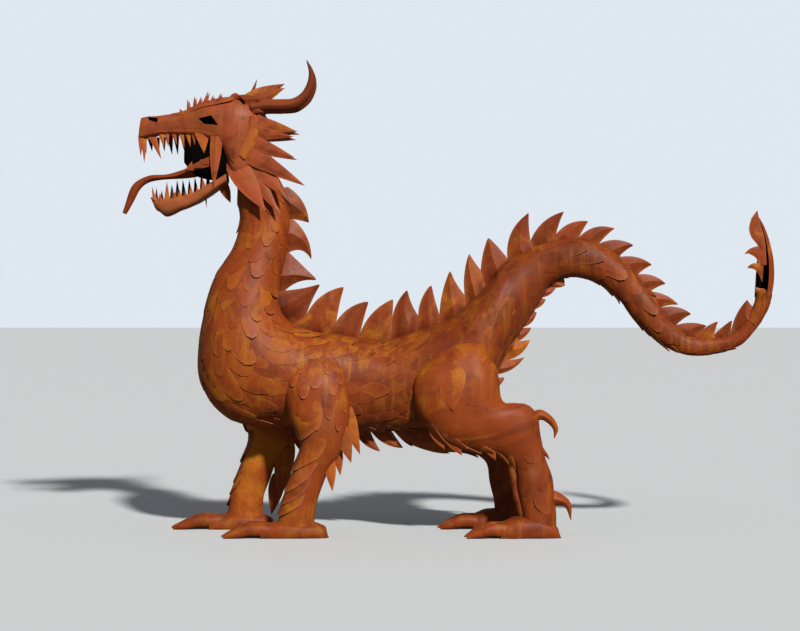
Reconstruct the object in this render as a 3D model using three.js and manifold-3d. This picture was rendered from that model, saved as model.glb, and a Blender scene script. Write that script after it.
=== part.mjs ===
// A dragon sculpture welded from weathering-steel sheet: a scaled trunk that runs on as neck and tail,
// four legs with clawed feet, a gaping head with horns and a mane, and rows of folded plates.
// The dragon looks along -X, stands on z = 0 and is the same on both sides of y = 0 but for its stride.
import * as THREE from "three";
import { mergeVertices } from "three/addons/utils/BufferGeometryUtils.js";
import Module from "manifold-3d";

const wasm = await Module();
wasm.setup();

// Driving sizes, in millimetres.
const HEIGHT = 2750; // soles to horn tip
const WELD_GAP = 0.5; // between pieces that meet at a weld
const SCALE_LENGTH = 134; // of the hide's scales, along the body
const SCALE_OVERLAP = 50; // how far a scale reaches over the next row
const SCALE_LIP = 18; // how far its tip stands off the row below
const SCALES_ROUND = 10; // scales in one row round the body
const LEG_SCALE_LIP = 11;
const LEG_SCALES_ROUND = 6;
const MANE_FOLD = 16; // height of the fold along a mane plate
const EYE_LENGTH = 118;
const EYE_HEIGHT = 58;

// The figure's own proportions are shares of its height: one share is a hundredth.
const shares = (n) => (n * HEIGHT) / 100;
const inFrame = (x, z, y = 0) => new THREE.Vector3(shares(x), shares(y), shares(z));

// Ribs of the neck and trunk, head to hips: back x and z, throat or belly x and z, half width.
const TRUNK_RIBS = [
  [-39.0, 77.5, -44.6, 76.0, 3.2],
  [-34.6, 70.9, -44.5, 70.1, 4.2],
  [-33.4, 65.5, -43.9, 65.9, 4.4],
  [-33.8, 60.0, -45.4, 60.2, 5.1],
  [-35.1, 54.3, -49.3, 53.9, 6.7],
  [-35.7, 49.5, -51.5, 46.5, 8.6],
  [-34.8, 46.1, -52.7, 38.5, 10.1],
  [-32.1, 43.8, -52.0, 30.5, 10.5],
  [-27.5, 42.5, -46.2, 24.0, 10.5],
  [-22.8, 41.9, -34.8, 22.3, 9.9],
  [-18.2, 41.3, -24.9, 21.6, 9.1],
  [-12.7, 40.8, -16.1, 21.5, 8.6],
  [-6.4, 42.7, -7.7, 21.7, 8.6],
  [-0.5, 45.1, 1.4, 22.9, 8.8],
  [4.5, 49.1, 8.5, 29.7, 8.4],
  [8.9, 53.3, 12.3, 38.1, 6.9],
];

// The tail's centre line, hips to the open end, with its half depth.
const TAIL_LINE = [
  [14.8, 52.1, 5.8],
  [19.7, 56.4, 4.4],
  [24.9, 57.9, 4.2],
  [29.8, 57.4, 4.0],
  [34.4, 55.1, 3.6],
  [38.3, 51.2, 3.2],
  [41.5, 47.2, 3.3],
  [45.3, 42.7, 2.65],
  [50.1, 39.7, 2.1],
  [55.6, 39.4, 1.6],
  [60.8, 40.8, 1.35],
  [64.1, 44.5, 1.4],
  [66.0, 48.0, 1.6],
  [66.6, 50.8, 1.7],
];
const TAIL_WIDTH = 0.8; // of its depth

// The tail ends as an open channel, given the same way, with a long blade and two hooks on its near wall.
const CHANNEL_LINE = [
  [66.3, 49.6, 1.75],
  [66.7, 53.4, 1.95],
  [66.8, 57.4, 1.75],
  [66.5, 61.0, 1.3],
  [66.0, 64.0, 0.8],
  [65.3, 66.4, 0.3],
];

// Ribs of the legs, from the top down: front x and z, rear x and z, half width, distance from y = 0.
const FRONT_LEG_RIBS = [
  [-31.0, 40.2, -24.5, 40.4, 1.0, 4.6],
  [-33.4, 37.0, -22.2, 36.6, 2.6, 6.6],
  [-34.4, 32.6, -21.2, 31.6, 3.8, 8.0],
  [-33.6, 26.3, -20.7, 25.5, 4.0, 8.4],
  [-30.9, 19.9, -22.0, 18.9, 3.6, 8.0],
  [-32.2, 14.6, -24.8, 14.4, 3.2, 7.8],
  [-34.0, 9.1, -26.8, 9.3, 2.9, 7.8],
  [-35.2, 4.8, -27.9, 4.6, 2.9, 7.8],
  [-36.0, 0.8, -27.9, 0.8, 2.9, 7.8],
];
const HIND_LEG_RIBS = [
  [-2.0, 39.2, 3.6, 41.6, 1.2, 5.8],
  [-6.0, 35.2, 7.0, 40.0, 3.4, 7.4],
  [-7.5, 30.5, 9.3, 36.2, 4.4, 8.4],
  [-6.0, 24.8, 10.4, 32.2, 4.6, 8.8],
  [-2.0, 20.4, 11.6, 28.2, 4.3, 8.6],
  [3.7, 18.2, 15.8, 27.7, 3.8, 8.4],
  [9.8, 17.2, 18.4, 25.3, 3.4, 8.2],
  [13.4, 14.6, 19.0, 20.9, 3.1, 8.0],
  [14.2, 10.2, 20.6, 15.0, 2.8, 8.0],
  [14.9, 6.3, 21.7, 9.6, 2.7, 8.0],
  [15.6, 0.8, 22.4, 0.8, 2.7, 8.0],
];
const LEG_SIDE = -1; // the left legs stand on the -Y side
const FRONT_STRIDE = -11.9; // how far the right front foot stands ahead of the left
const HIND_STRIDE = -5.2;
const HIND_CROUCH = 2.2; // how much lower the right thigh's underside hangs

// Ribs of the skull and of the lower jaw, snout to nape: top x and z, bottom x and z, half width.
const SKULL_RIBS = [
  [-64.6, 87.5, -65.2, 82.9, 1.9],
  [-62.8, 87.8, -63.4, 83.2, 2.5],
  [-59.7, 88.1, -59.7, 83.8, 2.7],
  [-55.7, 88.8, -55.1, 83.6, 3.2],
  [-52.3, 90.3, -51.3, 83.0, 4.0],
  [-48.1, 91.4, -47.7, 80.6, 4.8],
  [-43.9, 91.8, -45.6, 75.2, 5.0],
  [-40.1, 90.1, -43.3, 72.2, 4.2],
  [-37.2, 85.9, -39.3, 73.3, 2.9],
];
const GULLET_RIBS = [
  [-55.3, 84.4, -55.6, 78.0, 2.0],
  [-53.0, 84.4, -53.4, 75.4, 2.8],
  [-50.0, 84.4, -50.0, 74.4, 3.2],
  [-46.5, 84.0, -46.5, 74.2, 3.4],
];
const JAW_RIBS = [
  [-62.2, 70.5, -60.7, 67.6, 1.5],
  [-59.7, 70.9, -59.1, 66.7, 2.3],
  [-56.5, 71.4, -56.1, 68.0, 2.7],
  [-53.4, 72.2, -52.9, 69.3, 3.2],
  [-50.2, 73.9, -49.6, 71.4, 3.6],
  [-46.6, 76.0, -46.4, 73.7, 3.6],
];
const TONGUE_LINE = [
  [-48.6, 79.4, 1.9],
  [-51.0, 77.6, 1.7],
  [-54.0, 76.1, 1.2],
  [-58.6, 75.2, 0.6],
  [-62.9, 74.7, 0.7],
  [-65.6, 73.1, 0.9],
  [-67.0, 70.3, 0.85],
  [-68.3, 67.4, 0.4],
];
const TONGUE_WIDTH = 1.5; // half width at its root, shrinking by half to the tip
const HORN_LINE = [
  [-41.4, 89.5, 1.4],
  [-38.2, 89.9, 1.35],
  [-35.1, 89.9, 1.3],
  [-32.3, 90.2, 1.25],
  [-30.0, 91.8, 1.05],
  [-28.8, 94.2, 0.8],
  [-28.7, 96.7, 0.5],
  [-29.6, 99.1, 0.1],
];
const HORN_SPREAD = [2.7, 5.4]; // distance from y = 0 at root and tip

// Curves and closed surfaces.
const smooth = (points) => new THREE.CatmullRomCurve3(points, false, "catmullrom", 0.5);
const power = (value, exponent) => Math.sign(value) * Math.abs(value) ** exponent;

// A limb's two edges in the side view, and its half width and sideways place as a third curve.
function limbOf(ribs) {
  return {
    edge: smooth(ribs.map(([x, z]) => inFrame(x, z))),
    otherEdge: smooth(ribs.map(([, , x, z]) => inFrame(x, z))),
    breadth: smooth(ribs.map(([, , , , half, y = 0]) => new THREE.Vector3(shares(half), shares(y), 0))),
  };
}

// Ribs square to a centre line, from its points and half depths.
function ribsAlong(line, widthShare) {
  const centre = smooth(line.map(([x, z]) => new THREE.Vector3(x, 0, z)));
  return line.map(([x, z, half], i) => {
    const ahead = centre.getTangent(i / (line.length - 1));
    return [x - ahead.z * half, z + ahead.x * half, x + ahead.z * half, z - ahead.x * half, half * widthShare];
  });
}

// One point of the oval round a limb at share t of its length, standing out from the surface by a distance.
function skinPoint(limb, t, angle, squareness, standOut, side = 1) {
  const edge = limb.edge.getPoint(t);
  const otherEdge = limb.otherEdge.getPoint(t);
  const breadth = limb.breadth.getPoint(t);
  const deep = edge.clone().sub(otherEdge).multiplyScalar(0.5);
  const across = new THREE.Vector3(0, breadth.x, 0);
  const c = power(Math.cos(angle), squareness);
  const s = power(Math.sin(angle), squareness);
  const outward = deep.clone().multiplyScalar(c / deep.length()).add(new THREE.Vector3(0, s, 0)).normalize();
  const point = edge.add(otherEdge).multiplyScalar(0.5).addScaledVector(deep, c).addScaledVector(across, s);
  point.y += side * breadth.y;
  return point.addScaledVector(outward, standOut);
}

// A closed solid through rings of points, with each end fanned to its middle or to a given tip.
function loft(rings, tip) {
  const sides = rings[0].length;
  const middle = (ring) => ring.reduce((sum, p) => sum.add(p), new THREE.Vector3()).divideScalar(sides);
  const points = [...rings.flat(), middle(rings[0]), tip ?? middle(rings.at(-1))];
  const faces = [];
  const first = points.length - 2;
  const last = (rings.length - 1) * sides;
  for (let j = 0; j < sides; j++) {
    const k = (j + 1) % sides;
    for (let row = 0; row < last; row += sides) {
      faces.push(row + j, row + sides + j, row + sides + k, row + j, row + sides + k, row + k);
    }
    faces.push(first, j, k, first + 1, last + k, last + j);
  }
  const geometry = new THREE.BufferGeometry().setFromPoints(points);
  geometry.setIndex(faces);
  return solidOf(geometry);
}

// A three.js geometry as a solid, facing outwards.
function solidOf(geometry) {
  const bare = geometry.clone();
  bare.deleteAttribute("normal");
  bare.deleteAttribute("uv");
  const merged = mergeVertices(bare, 1e-3);
  const triVerts = new Uint32Array(merged.index.array);
  const vertProperties = merged.attributes.position.array;
  const make = () => new wasm.Manifold(new wasm.Mesh({ numProp: 3, vertProperties, triVerts }));
  const solid = make();
  if (solid.volume() > 0) return solid;
  for (let i = 0; i < triVerts.length; i += 3) {
    [triVerts[i + 1], triVerts[i + 2]] = [triVerts[i + 2], triVerts[i + 1]];
  }
  return make();
}

const joined = (solids) => solids.reduce((whole, solid) => whole.add(solid));

// A solid cut back from its neighbours, without the scraps that the cut leaves behind them.
function fitted(solid, ...neighbours) {
  const cut = neighbours.reduce((rest, neighbour) => rest.subtract(neighbour), solid);
  return cut.decompose().sort((a, b) => b.volume() - a.volume())[0];
}

function limbSolid(limb, { steps, sides, squareness = 1, standOut = 0, side = 1 }) {
  const rings = [];
  for (let i = 0; i <= steps; i++) {
    const ring = [];
    for (let j = 0; j < sides; j++) {
      ring.push(skinPoint(limb, i / steps, (2 * Math.PI * j) / sides, squareness, standOut, side));
    }
    rings.push(ring);
  }
  return loft(rings);
}

// A folded plate: half width and fold shrink from root to tip along a bowed centre line. Its guard, which
// cuts a neighbour back from it, grows by a gap on every side.
function leaf({ root, tip, across, width, fold, rootShare = 0.85, bow = 0, steps = 3, gap = 0 }) {
  const along = tip.clone().sub(root);
  const farTip = tip.clone().addScaledVector(along, (6 * gap) / along.length());
  const face = along.clone().normalize().cross(across).normalize();
  const rings = [];
  for (let i = 0; i < steps; i++) {
    const u = i / steps;
    const half = gap + 0.5 * width * (rootShare * (1 - u) + (1 - rootShare) * Math.sin(Math.PI * u ** 0.8));
    const middle = root.clone().addScaledVector(along, u).addScaledVector(across, 4 * bow * u * (1 - u));
    const ridge = gap + fold * (1 - u) ** 0.6;
    rings.push([
      middle.clone().addScaledVector(across, half),
      middle.clone().addScaledVector(face, ridge),
      middle.clone().addScaledVector(across, -half),
      middle.clone().addScaledVector(face, -ridge),
    ]);
  }
  return loft(rings, farTip);
}

// A tooth, claw or thorn: a slim spike on a ring of points square to its length.
function spike(root, tip, radius, sides = 3) {
  const along = tip.clone().sub(root).normalize();
  const across = new THREE.Vector3(-along.z, 0, along.x).normalize();
  const sideways = along.clone().cross(across);
  const ring = [];
  for (let j = 0; j < sides; j++) {
    const angle = (2 * Math.PI * j) / sides;
    ring.push(
      root
        .clone()
        .addScaledVector(across, radius * Math.cos(angle))
        .addScaledVector(sideways, radius * Math.sin(angle)),
    );
  }
  return loft([ring], tip.clone());
}

// Rings of a limb clad in rows of overlapping scales, staggered from row to row. Tips stand off the mean
// surface and roots are tucked under it, except where the bare function flattens them.
function cladRings(limb, places, { scalesRound, lip, overlap, squareness, bare = () => 1, side = 1 }) {
  const sides = 2 * scalesRound;
  const ring = (t, row, rootOffset, betweenOffset, tipOffset, reach) => {
    const points = [];
    for (let j = 0; j < sides; j++) {
      const angle = (2 * Math.PI * j) / sides;
      const atTip = (j + row) % 2 === 0;
      const offset = rootOffset ?? (atTip ? tipOffset : betweenOffset);
      const place = t + (atTip ? reach * bare(angle) : 0);
      points.push(skinPoint(limb, place, angle, squareness, offset * bare(angle), side));
    }
    return points;
  };
  const rings = [];
  for (let row = 0; row < places.length - 1; row++) {
    const reach = row < places.length - 2 ? overlap * (places[row + 1] - places[row]) : 0;
    rings.push(ring(places[row], row, -0.6 * lip, 0, 0, 0));
    rings.push(ring(places[row + 1], row, undefined, -0.25 * lip, 0.4 * lip, reach));
  }
  return rings;
}

// The hide: neck, trunk and tail in one, clad in scales but for a strip along the spine.
const hideLimb = limbOf([...TRUNK_RIBS, ...ribsAlong(TAIL_LINE, TAIL_WIDTH)]);
const hideMiddle = smooth(
  hideLimb.edge.points.map((p, i) => p.clone().add(hideLimb.otherEdge.points[i]).multiplyScalar(0.5)),
);
const HIDE_SQUARENESS = 0.92;
const SPINE_STRIP = Math.PI / 7; // each side of the back, smooth where the crest is welded on
const offSpine = (angle) => THREE.MathUtils.smoothstep(Math.min(angle, 2 * Math.PI - angle), 0, SPINE_STRIP);

// Scale rows shorten along the tail as its girth shrinks.
function scaleRows() {
  const length = hideMiddle.getLength();
  const rows = [0];
  while (rows.at(-1) < length - SCALE_LENGTH) {
    rows.push(rows.at(-1) + SCALE_LENGTH * (1.05 - (0.36 * rows.at(-1)) / length));
  }
  return [...rows.map((distance) => hideMiddle.getUtoTmapping(distance / length)), 1];
}

const hideSolid = () =>
  loft(
    cladRings(hideLimb, scaleRows(), {
      scalesRound: SCALES_ROUND,
      lip: SCALE_LIP,
      overlap: SCALE_OVERLAP / SCALE_LENGTH,
      squareness: HIDE_SQUARENESS,
      bare: offSpine,
    }),
  );

// The smooth skin just outside the scale tips, which everything welded to the hide is cut back to.
const ENVELOPE_STEPS = 54;
const ENVELOPE_SIDES = 2 * SCALES_ROUND;
const ENVELOPE_MARGIN = 7;
function hideEnvelope() {
  const rings = [];
  for (let i = 0; i <= ENVELOPE_STEPS; i++) {
    const t = i / ENVELOPE_STEPS;
    const past = (i === ENVELOPE_STEPS) - (i === 0);
    const push = hideMiddle.getTangent(t).multiplyScalar(past * ENVELOPE_MARGIN);
    const ring = [];
    for (let j = 0; j < ENVELOPE_SIDES; j++) {
      const angle = (2 * Math.PI * j) / ENVELOPE_SIDES;
      const standOut = WELD_GAP + ENVELOPE_MARGIN + 0.4 * SCALE_LIP * offSpine(angle);
      ring.push(skinPoint(hideLimb, t, angle, HIDE_SQUARENESS, standOut).add(push));
    }
    rings.push(ring);
  }
  return loft(rings);
}
const envelope = hideEnvelope();

// Legs, each one shell with its foot.
function poseRibs(ribs, { stride, settle, crouch }) {
  const top = ribs[0][1];
  const swing = (z) => stride * THREE.MathUtils.smoothstep(top - z, 0, top * settle);
  return ribs.map(([x1, z1, x2, z2, half, y], i) => {
    const sag = crouch * Math.sin(Math.PI * Math.min(1, (1.4 * i) / (ribs.length - 1)));
    return [x1 + swing(z1) - 0.6 * sag, z1 - sag, x2 + swing(z2), z2, half, y];
  });
}

const TOES = 3;
const TOE_SPREAD = 0.24; // how far the toes fan out, per length of toe
const TOE_PROFILE = [
  [0, 1.4, 1.4],
  [0.45, 1.7, 1.3],
  [0.8, 0.8, 0.8],
  [1, 0.2, 0.15],
]; // along the toe: place, height of its middle, half depth

// A foot from heel to claw tips; the floor is cut away under it.
function footSolid({ heel, length, height, y, side }) {
  const body = 0.62 * length;
  const ribs = [
    [heel, 2.4, heel + 0.4, -1, 2.2, y],
    [heel - 0.3 * body, height, heel - 0.3 * body, -1, 3.0, y],
    [heel - 0.75 * body, height, heel - 0.75 * body, -1, 3.3, y],
    [heel - body, height * 0.72, heel - body, -1, 3.1, y],
  ];
  const parts = [limbSolid(limbOf(ribs), { steps: 3, sides: 8, squareness: 0.8, side })];
  const toeLength = length - 0.8 * body;
  for (let toe = 0; toe < TOES; toe++) {
    const outward = toe - (TOES - 1) / 2;
    const toeRibs = TOE_PROFILE.map(([u, middle, half]) => {
      const x = heel - 0.8 * body - u * toeLength * (1 - 0.05 * Math.abs(outward));
      return [x, middle + half, x, middle - half, half * 0.72, y + outward * (2.0 + u * TOE_SPREAD * 4)];
    });
    parts.push(limbSolid(limbOf(toeRibs), { steps: 3, sides: 5, side }));
  }
  return joined(parts);
}

const floor = solidOf(
  new THREE.BoxGeometry(shares(160), shares(60), shares(20)).translate(0, 0, -shares(10)),
);

function legSolid({ ribs, rows, foot, plates, pose, side }) {
  const limb = limbOf(poseRibs(ribs, pose));
  const places = Array.from({ length: rows + 1 }, (_, i) => i / rows);
  const clad = { scalesRound: LEG_SCALES_ROUND, lip: LEG_SCALE_LIP, overlap: 0.24, squareness: 0.9, side };
  const shell = loft(cladRings(limb, places, clad));
  const sole = footSolid({ ...foot, heel: foot.heel + pose.stride, y: ribs.at(-1)[5], side });
  return fitted(joined([shell, sole, ...plates(pose.stride, side)]), envelope, floor);
}

// Leaves that trail from a leg: root x and z, tip x and z, width, distance from y = 0.
const ELBOW_PLATES = [
  [-24.9, 17.0, -24.1, 10.0, 2.2, 9.2],
  [-23.4, 19.4, -22.6, 13.1, 2.0, 8.2],
  [-22.8, 23.6, -20.2, 16.1, 3.2, 9.6],
  [-22.6, 28.6, -18.5, 17.6, 3.8, 8.2],
];
const CALF_PLATES = [
  [-23.4, 17.4, -24.8, 6.4, 5.0, 7.0],
  [-25.0, 11.6, -26.6, 2.8, 4.2, 8.2],
];
const THIGH_PLATES = [
  [-3.6, 23.6, -1.0, 18.4, 3.2, 9.6],
  [-0.2, 21.6, 2.6, 17.2, 3.2, 10.2],
  [4.1, 21.5, 6.3, 17.1, 3.1, 9.3],
  [7.2, 20.8, 9.6, 16.2, 3.0, 10.0],
  [10.4, 20.0, 12.6, 16.0, 3.0, 9.2],
];
const leaves = (rows, stride, side, fold) =>
  rows.map(([x1, z1, x2, z2, width, y]) =>
    leaf({
      root: inFrame(x1 + stride, z1, side * y),
      tip: inFrame(x2 + stride, z2, side * y),
      across: inFrame(z1 - z2, x2 - x1).normalize(),
      width: shares(width),
      fold,
      rootShare: 0.55,
    }),
  );

// Hooked spurs behind the hock and the heel, and a thorn between them: x, z and half depth along each.
const SPUR_LINES = [
  [
    [16.7, 24.2, 1.2],
    [19.5, 25.2, 0.9],
    [21.4, 24.0, 0.62],
    [22.0, 22.0, 0.36],
    [21.7, 20.6, 0.06],
  ],
  [
    [18.0, 19.2, 0.9],
    [20.0, 17.3, 0.4],
    [20.8, 16.2, 0.06],
  ],
  [
    [19.7, 8.5, 1.5],
    [22.3, 7.9, 0.9],
    [24.2, 6.9, 0.55],
    [25.1, 3.8, 0.06],
  ],
];
const SPUR_OFFSET = 8.1;
function spurs(stride, side) {
  return SPUR_LINES.map((line) => {
    const moved = line.map(([x, z, half]) => [x + stride, z, half]);
    const ribs = ribsAlong(moved, 0.75).map((rib) => [...rib, SPUR_OFFSET]);
    return limbSolid(limbOf(ribs), { steps: 4, sides: 4, side });
  });
}

const FRONT_LEG = {
  ribs: FRONT_LEG_RIBS,
  rows: 7,
  foot: { heel: -25.4, length: 22.0, height: 3.3 },
  plates: (stride, side) => [
    ...leaves(ELBOW_PLATES, stride * 0.9, side, 8),
    ...(stride ? leaves(CALF_PLATES, stride * 0.95, side, 8) : []),
  ],
};
const HIND_LEG = {
  ribs: HIND_LEG_RIBS,
  rows: 8,
  foot: { heel: 22.9, length: 19.8, height: 4.2 },
  plates: (stride, side) => [...leaves(THIGH_PLATES, stride, side, 9), ...spurs(stride, side)],
};

// The head. The skull's skin is boxy, as plates bent round a frame are.
const SKULL_SQUARENESS = 0.72;
const skullLimb = limbOf(SKULL_RIBS);
const gulletLimb = limbOf(GULLET_RIBS);
const boxySkin = (limb, steps, sides, standOut) =>
  limbSolid(limb, { steps, sides, squareness: SKULL_SQUARENESS, standOut });
const skullSkin = (standOut) => boxySkin(skullLimb, 11, 10, standOut);
const gulletSkin = (standOut) => boxySkin(gulletLimb, 3, 8, standOut);
const mouthGuard = () => joined([skullSkin(WELD_GAP), gulletSkin(WELD_GAP), ...cheekPlates(WELD_GAP)]);

// Teeth along the lip and the jaw: place along the limb, length on the left and on the right, lean forward.
const UPPER_TEETH = [
  [0.035, 3.4, 3.0, 0.5],
  [0.08, 5.4, 3.2, -0.3],
  [0.17, 4.8, 3.0, -1.6],
  [0.225, 3.2, 3.2, -0.9],
  [0.265, 2.6, 3.7, -0.9],
  [0.305, 3.1, 3.6, -0.8],
  [0.345, 2.8, 3.4, -0.8],
  [0.385, 2.8, 3.0, -0.8],
  [0.43, 3.1, 3.0, -0.3],
  [0.47, 3.3, 3.0, 0],
];
const LOWER_TEETH = [
  [0.03, 1.9, 3.1, 0.4],
  [0.14, 1.2, 1.4, 0.1],
  [0.255, 3.6, 2.0, 0.2],
  [0.33, 1.3, 2.6, 0.3],
  [0.41, 1.3, 3.2, 0.2],
  [0.49, 1.5, 2.8, 0.3],
  [0.57, 1.6, 3.0, 0.2],
  [0.65, 1.7, 2.8, 0.2],
  [0.73, 1.9, 2.8, 0.1],
  [0.82, 2.1, 2.8, 0],
];
const TOOTH_RADIUS = 15;

function teeth(limb, rows, angle, up) {
  return [LEG_SIDE, -LEG_SIDE].flatMap((side, i) =>
    rows.map(([t, left, right, lean]) => {
      const length = i ? right : left;
      const root = skinPoint(limb, t, side * angle, SKULL_SQUARENESS, -TOOTH_RADIUS * 0.8);
      root.z -= up * TOOTH_RADIUS;
      return spike(root, root.clone().add(inFrame(-lean, up * length)), TOOTH_RADIUS * (0.75 + length / 8));
    }),
  );
}

// A prism through the head, from its outline in the side view, for an eye or a nostril.
function sidewaysPrism(x, z, outline, from, depth) {
  const shape = new THREE.Shape(outline.map(([u, v]) => new THREE.Vector2(u, v)));
  const prism = new THREE.ExtrudeGeometry(shape, { depth, bevelEnabled: false });
  prism.rotateX(Math.PI / 2).translate(shares(x), from + depth, shares(z));
  return solidOf(prism);
}

// The angry eye is cut right through, with its long side tilted down to the snout.
function eyeCutter() {
  const half = EYE_LENGTH / 2;
  const outline = [
    [-half, 0.14 * EYE_HEIGHT],
    [-0.45 * half, -0.42 * EYE_HEIGHT],
    [half, -0.58 * EYE_HEIGHT],
    [0.28 * half, 0.42 * EYE_HEIGHT],
  ];
  return sidewaysPrism(-50.2, 86.9, outline, -shares(8), shares(16));
}
function nostrilCutters() {
  const outline = [
    [-34, 12],
    [-22, -8],
    [26, -22],
    [30, 4],
  ];
  const depth = shares(1.6);
  return [-shares(2.9), shares(2.9) - depth].map((from) => sidewaysPrism(-62.0, 87.2, outline, from, depth));
}

// Thorns in pairs along the brow: place along the skull, length, lean back.
const BROW_THORNS = [
  [0.34, 1.4, 0.7],
  [0.41, 2.4, -0.1],
  [0.485, 2.4, -0.2],
  [0.53, 3.0, 1.3],
  [0.61, 2.1, 1.0],
];
function thorns() {
  const brows = [-1, 1].flatMap((side) =>
    BROW_THORNS.map(([t, length, lean]) => {
      const root = skinPoint(skullLimb, t, side * 0.5, SKULL_SQUARENESS, -14);
      return spike(root, root.clone().add(inFrame(lean, length, side * 0.3)), 15);
    }),
  );
  return [...brows, crownThorn(14)];
}
const crownThorn = (radius) => spike(inFrame(-42.0, 90.4, 0.5), inFrame(-40.2, 95.8, 0.9), radius);
const crownThornGuard = () => crownThorn(16);
function browRolls() {
  return [-1, 1].map((side) => {
    const roll = new THREE.CylinderGeometry(shares(0.8), shares(0.95), shares(3.2), 8);
    roll.rotateX(Math.PI / 2).rotateZ(side * 0.45).rotateY(-0.9);
    return solidOf(roll.translate(shares(-44.2), side * shares(3.0), shares(91.4)));
  });
}
// The cheek plates hang in front of the jaw hinge.
function cheekPlates(gap = 0) {
  return [-1, 1].map((side) =>
    leaf({
      root: inFrame(-48.4, 84.2, side * 3.9),
      tip: inFrame(-49.2, 71.4, side * 3.7),
      across: new THREE.Vector3(1, 0, 0),
      width: shares(3.8),
      fold: 24,
      rootShare: 0.8,
      gap,
    }),
  );
}

function skullSolid() {
  const parts = [skullSkin(0), gulletSkin(0), ...thorns(), ...browRolls(), ...cheekPlates()];
  const lip = teeth(skullLimb, UPPER_TEETH, Math.PI * 0.8, -1);
  return fitted(joined([...parts, ...lip]), eyeCutter(), ...nostrilCutters(), envelope);
}

// The lower jaw is a trough with its teeth on the rim, and a thorn under it.
function jawSolid() {
  const limb = limbOf(JAW_RIBS);
  const hollow = limbOf(JAW_RIBS.map(([x1, z1, x2, z2, half]) => [x1, z1 + 2.2, x2, z2 + 1.7, half * 0.7]));
  const trough = boxySkin(limb, 6, 10, 0).subtract(boxySkin(hollow, 6, 6, 0));
  const rim = teeth(limb, LOWER_TEETH, Math.PI * 0.24, 1);
  const chinThorn = spike(inFrame(-51.2, 72.4), inFrame(-51.0, 68.3), 9);
  return fitted(joined([trough, ...rim, chinThorn]), envelope, mouthGuard());
}

const jawGuard = () => boxySkin(limbOf(JAW_RIBS), 6, 10, WELD_GAP);

function tongueSolid() {
  const last = TONGUE_LINE.length - 1;
  const ribs = ribsAlong(TONGUE_LINE, 1).map(([x1, z1, x2, z2], i) => [
    x1,
    z1,
    x2,
    z2,
    TONGUE_WIDTH * (1 - (0.5 * i) / last),
  ]);
  return fitted(limbSolid(limbOf(ribs), { steps: 14, sides: 6 }), mouthGuard(), envelope);
}

function hornSolid(side, grow = 0) {
  const [rootSpread, tipSpread] = HORN_SPREAD;
  const ribs = ribsAlong(HORN_LINE, 1).map((rib, i) => {
    const u = i / (HORN_LINE.length - 1);
    return [...rib, rootSpread + (tipSpread - rootSpread) * u];
  });
  return fitted(limbSolid(limbOf(ribs), { steps: 16, sides: 4, standOut: grow, side }), skullSkin(WELD_GAP));
}

// Mane plates fan out from a collar on the cheek: root x and z, tip x and z, width, distance of the tip from y = 0.
const MANE_COLLAR = [
  [-40.6, 87.6, 0.9],
  [-40.8, 84.6, 1.1],
  [-41.8, 81.6, 1.2],
  [-43.4, 79.2, 1.2],
  [-45.2, 77.4, 1.1],
  [-47.0, 76.4, 0.9],
];
const MANE_OFFSET = 5.1; // distance of the collar from y = 0
const MANE_PLATES = [
  [-41.2, 86.4, -31.5, 84.3, 3.6, 5.6],
  [-41.6, 84.4, -32.3, 83.2, 3.2, 6.0],
  [-42.4, 82.6, -32.1, 78.9, 3.6, 6.4],
  [-43.4, 80.8, -30.4, 73.4, 4.6, 6.8],
  [-41.8, 79.7, -33.8, 70.4, 3.8, 6.4],
  [-43.4, 79.4, -35.2, 67.1, 3.4, 6.2],
  [-45.2, 78.4, -38.2, 67.8, 5.0, 7.0],
];
function maneSolid(side) {
  const plates = MANE_PLATES.map(([x1, z1, x2, z2, width, y]) =>
    leaf({
      root: inFrame(x1, z1, side * MANE_OFFSET),
      tip: inFrame(x2, z2, side * y),
      across: inFrame(z1 - z2, x2 - x1).normalize(),
      width: shares(width),
      fold: MANE_FOLD,
      rootShare: 0.5,
    }),
  );
  const collarRibs = ribsAlong(MANE_COLLAR, 0.35).map((rib) => [...rib, MANE_OFFSET]);
  const collar = limbSolid(limbOf(collarRibs), { steps: 5, sides: 4, side });
  return fitted(joined([collar, ...plates]), mouthGuard(), envelope, hornSolid(side, WELD_GAP));
}

// A fin on the line of the back or belly, from its two base corners to its tip. The edge from the start bulges
// and the edge from the end is hollow, each by a share of its length. Its foot reaches into the hide.
const FIN_FOLD = 0.14; // height of the fold, as a share of the base
const FIN_FOOT = 55; // how far the foot goes in past the hide's edge before it is trimmed
const FOOT_TRIES = 600; // places along the hide where its nearest is looked for
function footOf(corner, outwardSide) {
  const onBack = outwardSide > 0;
  const line = onBack ? hideLimb.edge : hideLimb.otherEdge;
  const farLine = onBack ? hideLimb.otherEdge : hideLimb.edge;
  const points = line.getPoints(FOOT_TRIES);
  const gaps = points.map((point) => point.distanceTo(corner));
  const gap = Math.min(...gaps);
  const nearest = gaps.indexOf(gap);
  const inward = farLine.getPoint(nearest / FOOT_TRIES).sub(points[nearest]);
  return corner.clone().add(inward.setLength(gap + FIN_FOOT));
}
const FIN_ROWS = [0, 0.25, 0.5, 0.75];
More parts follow.
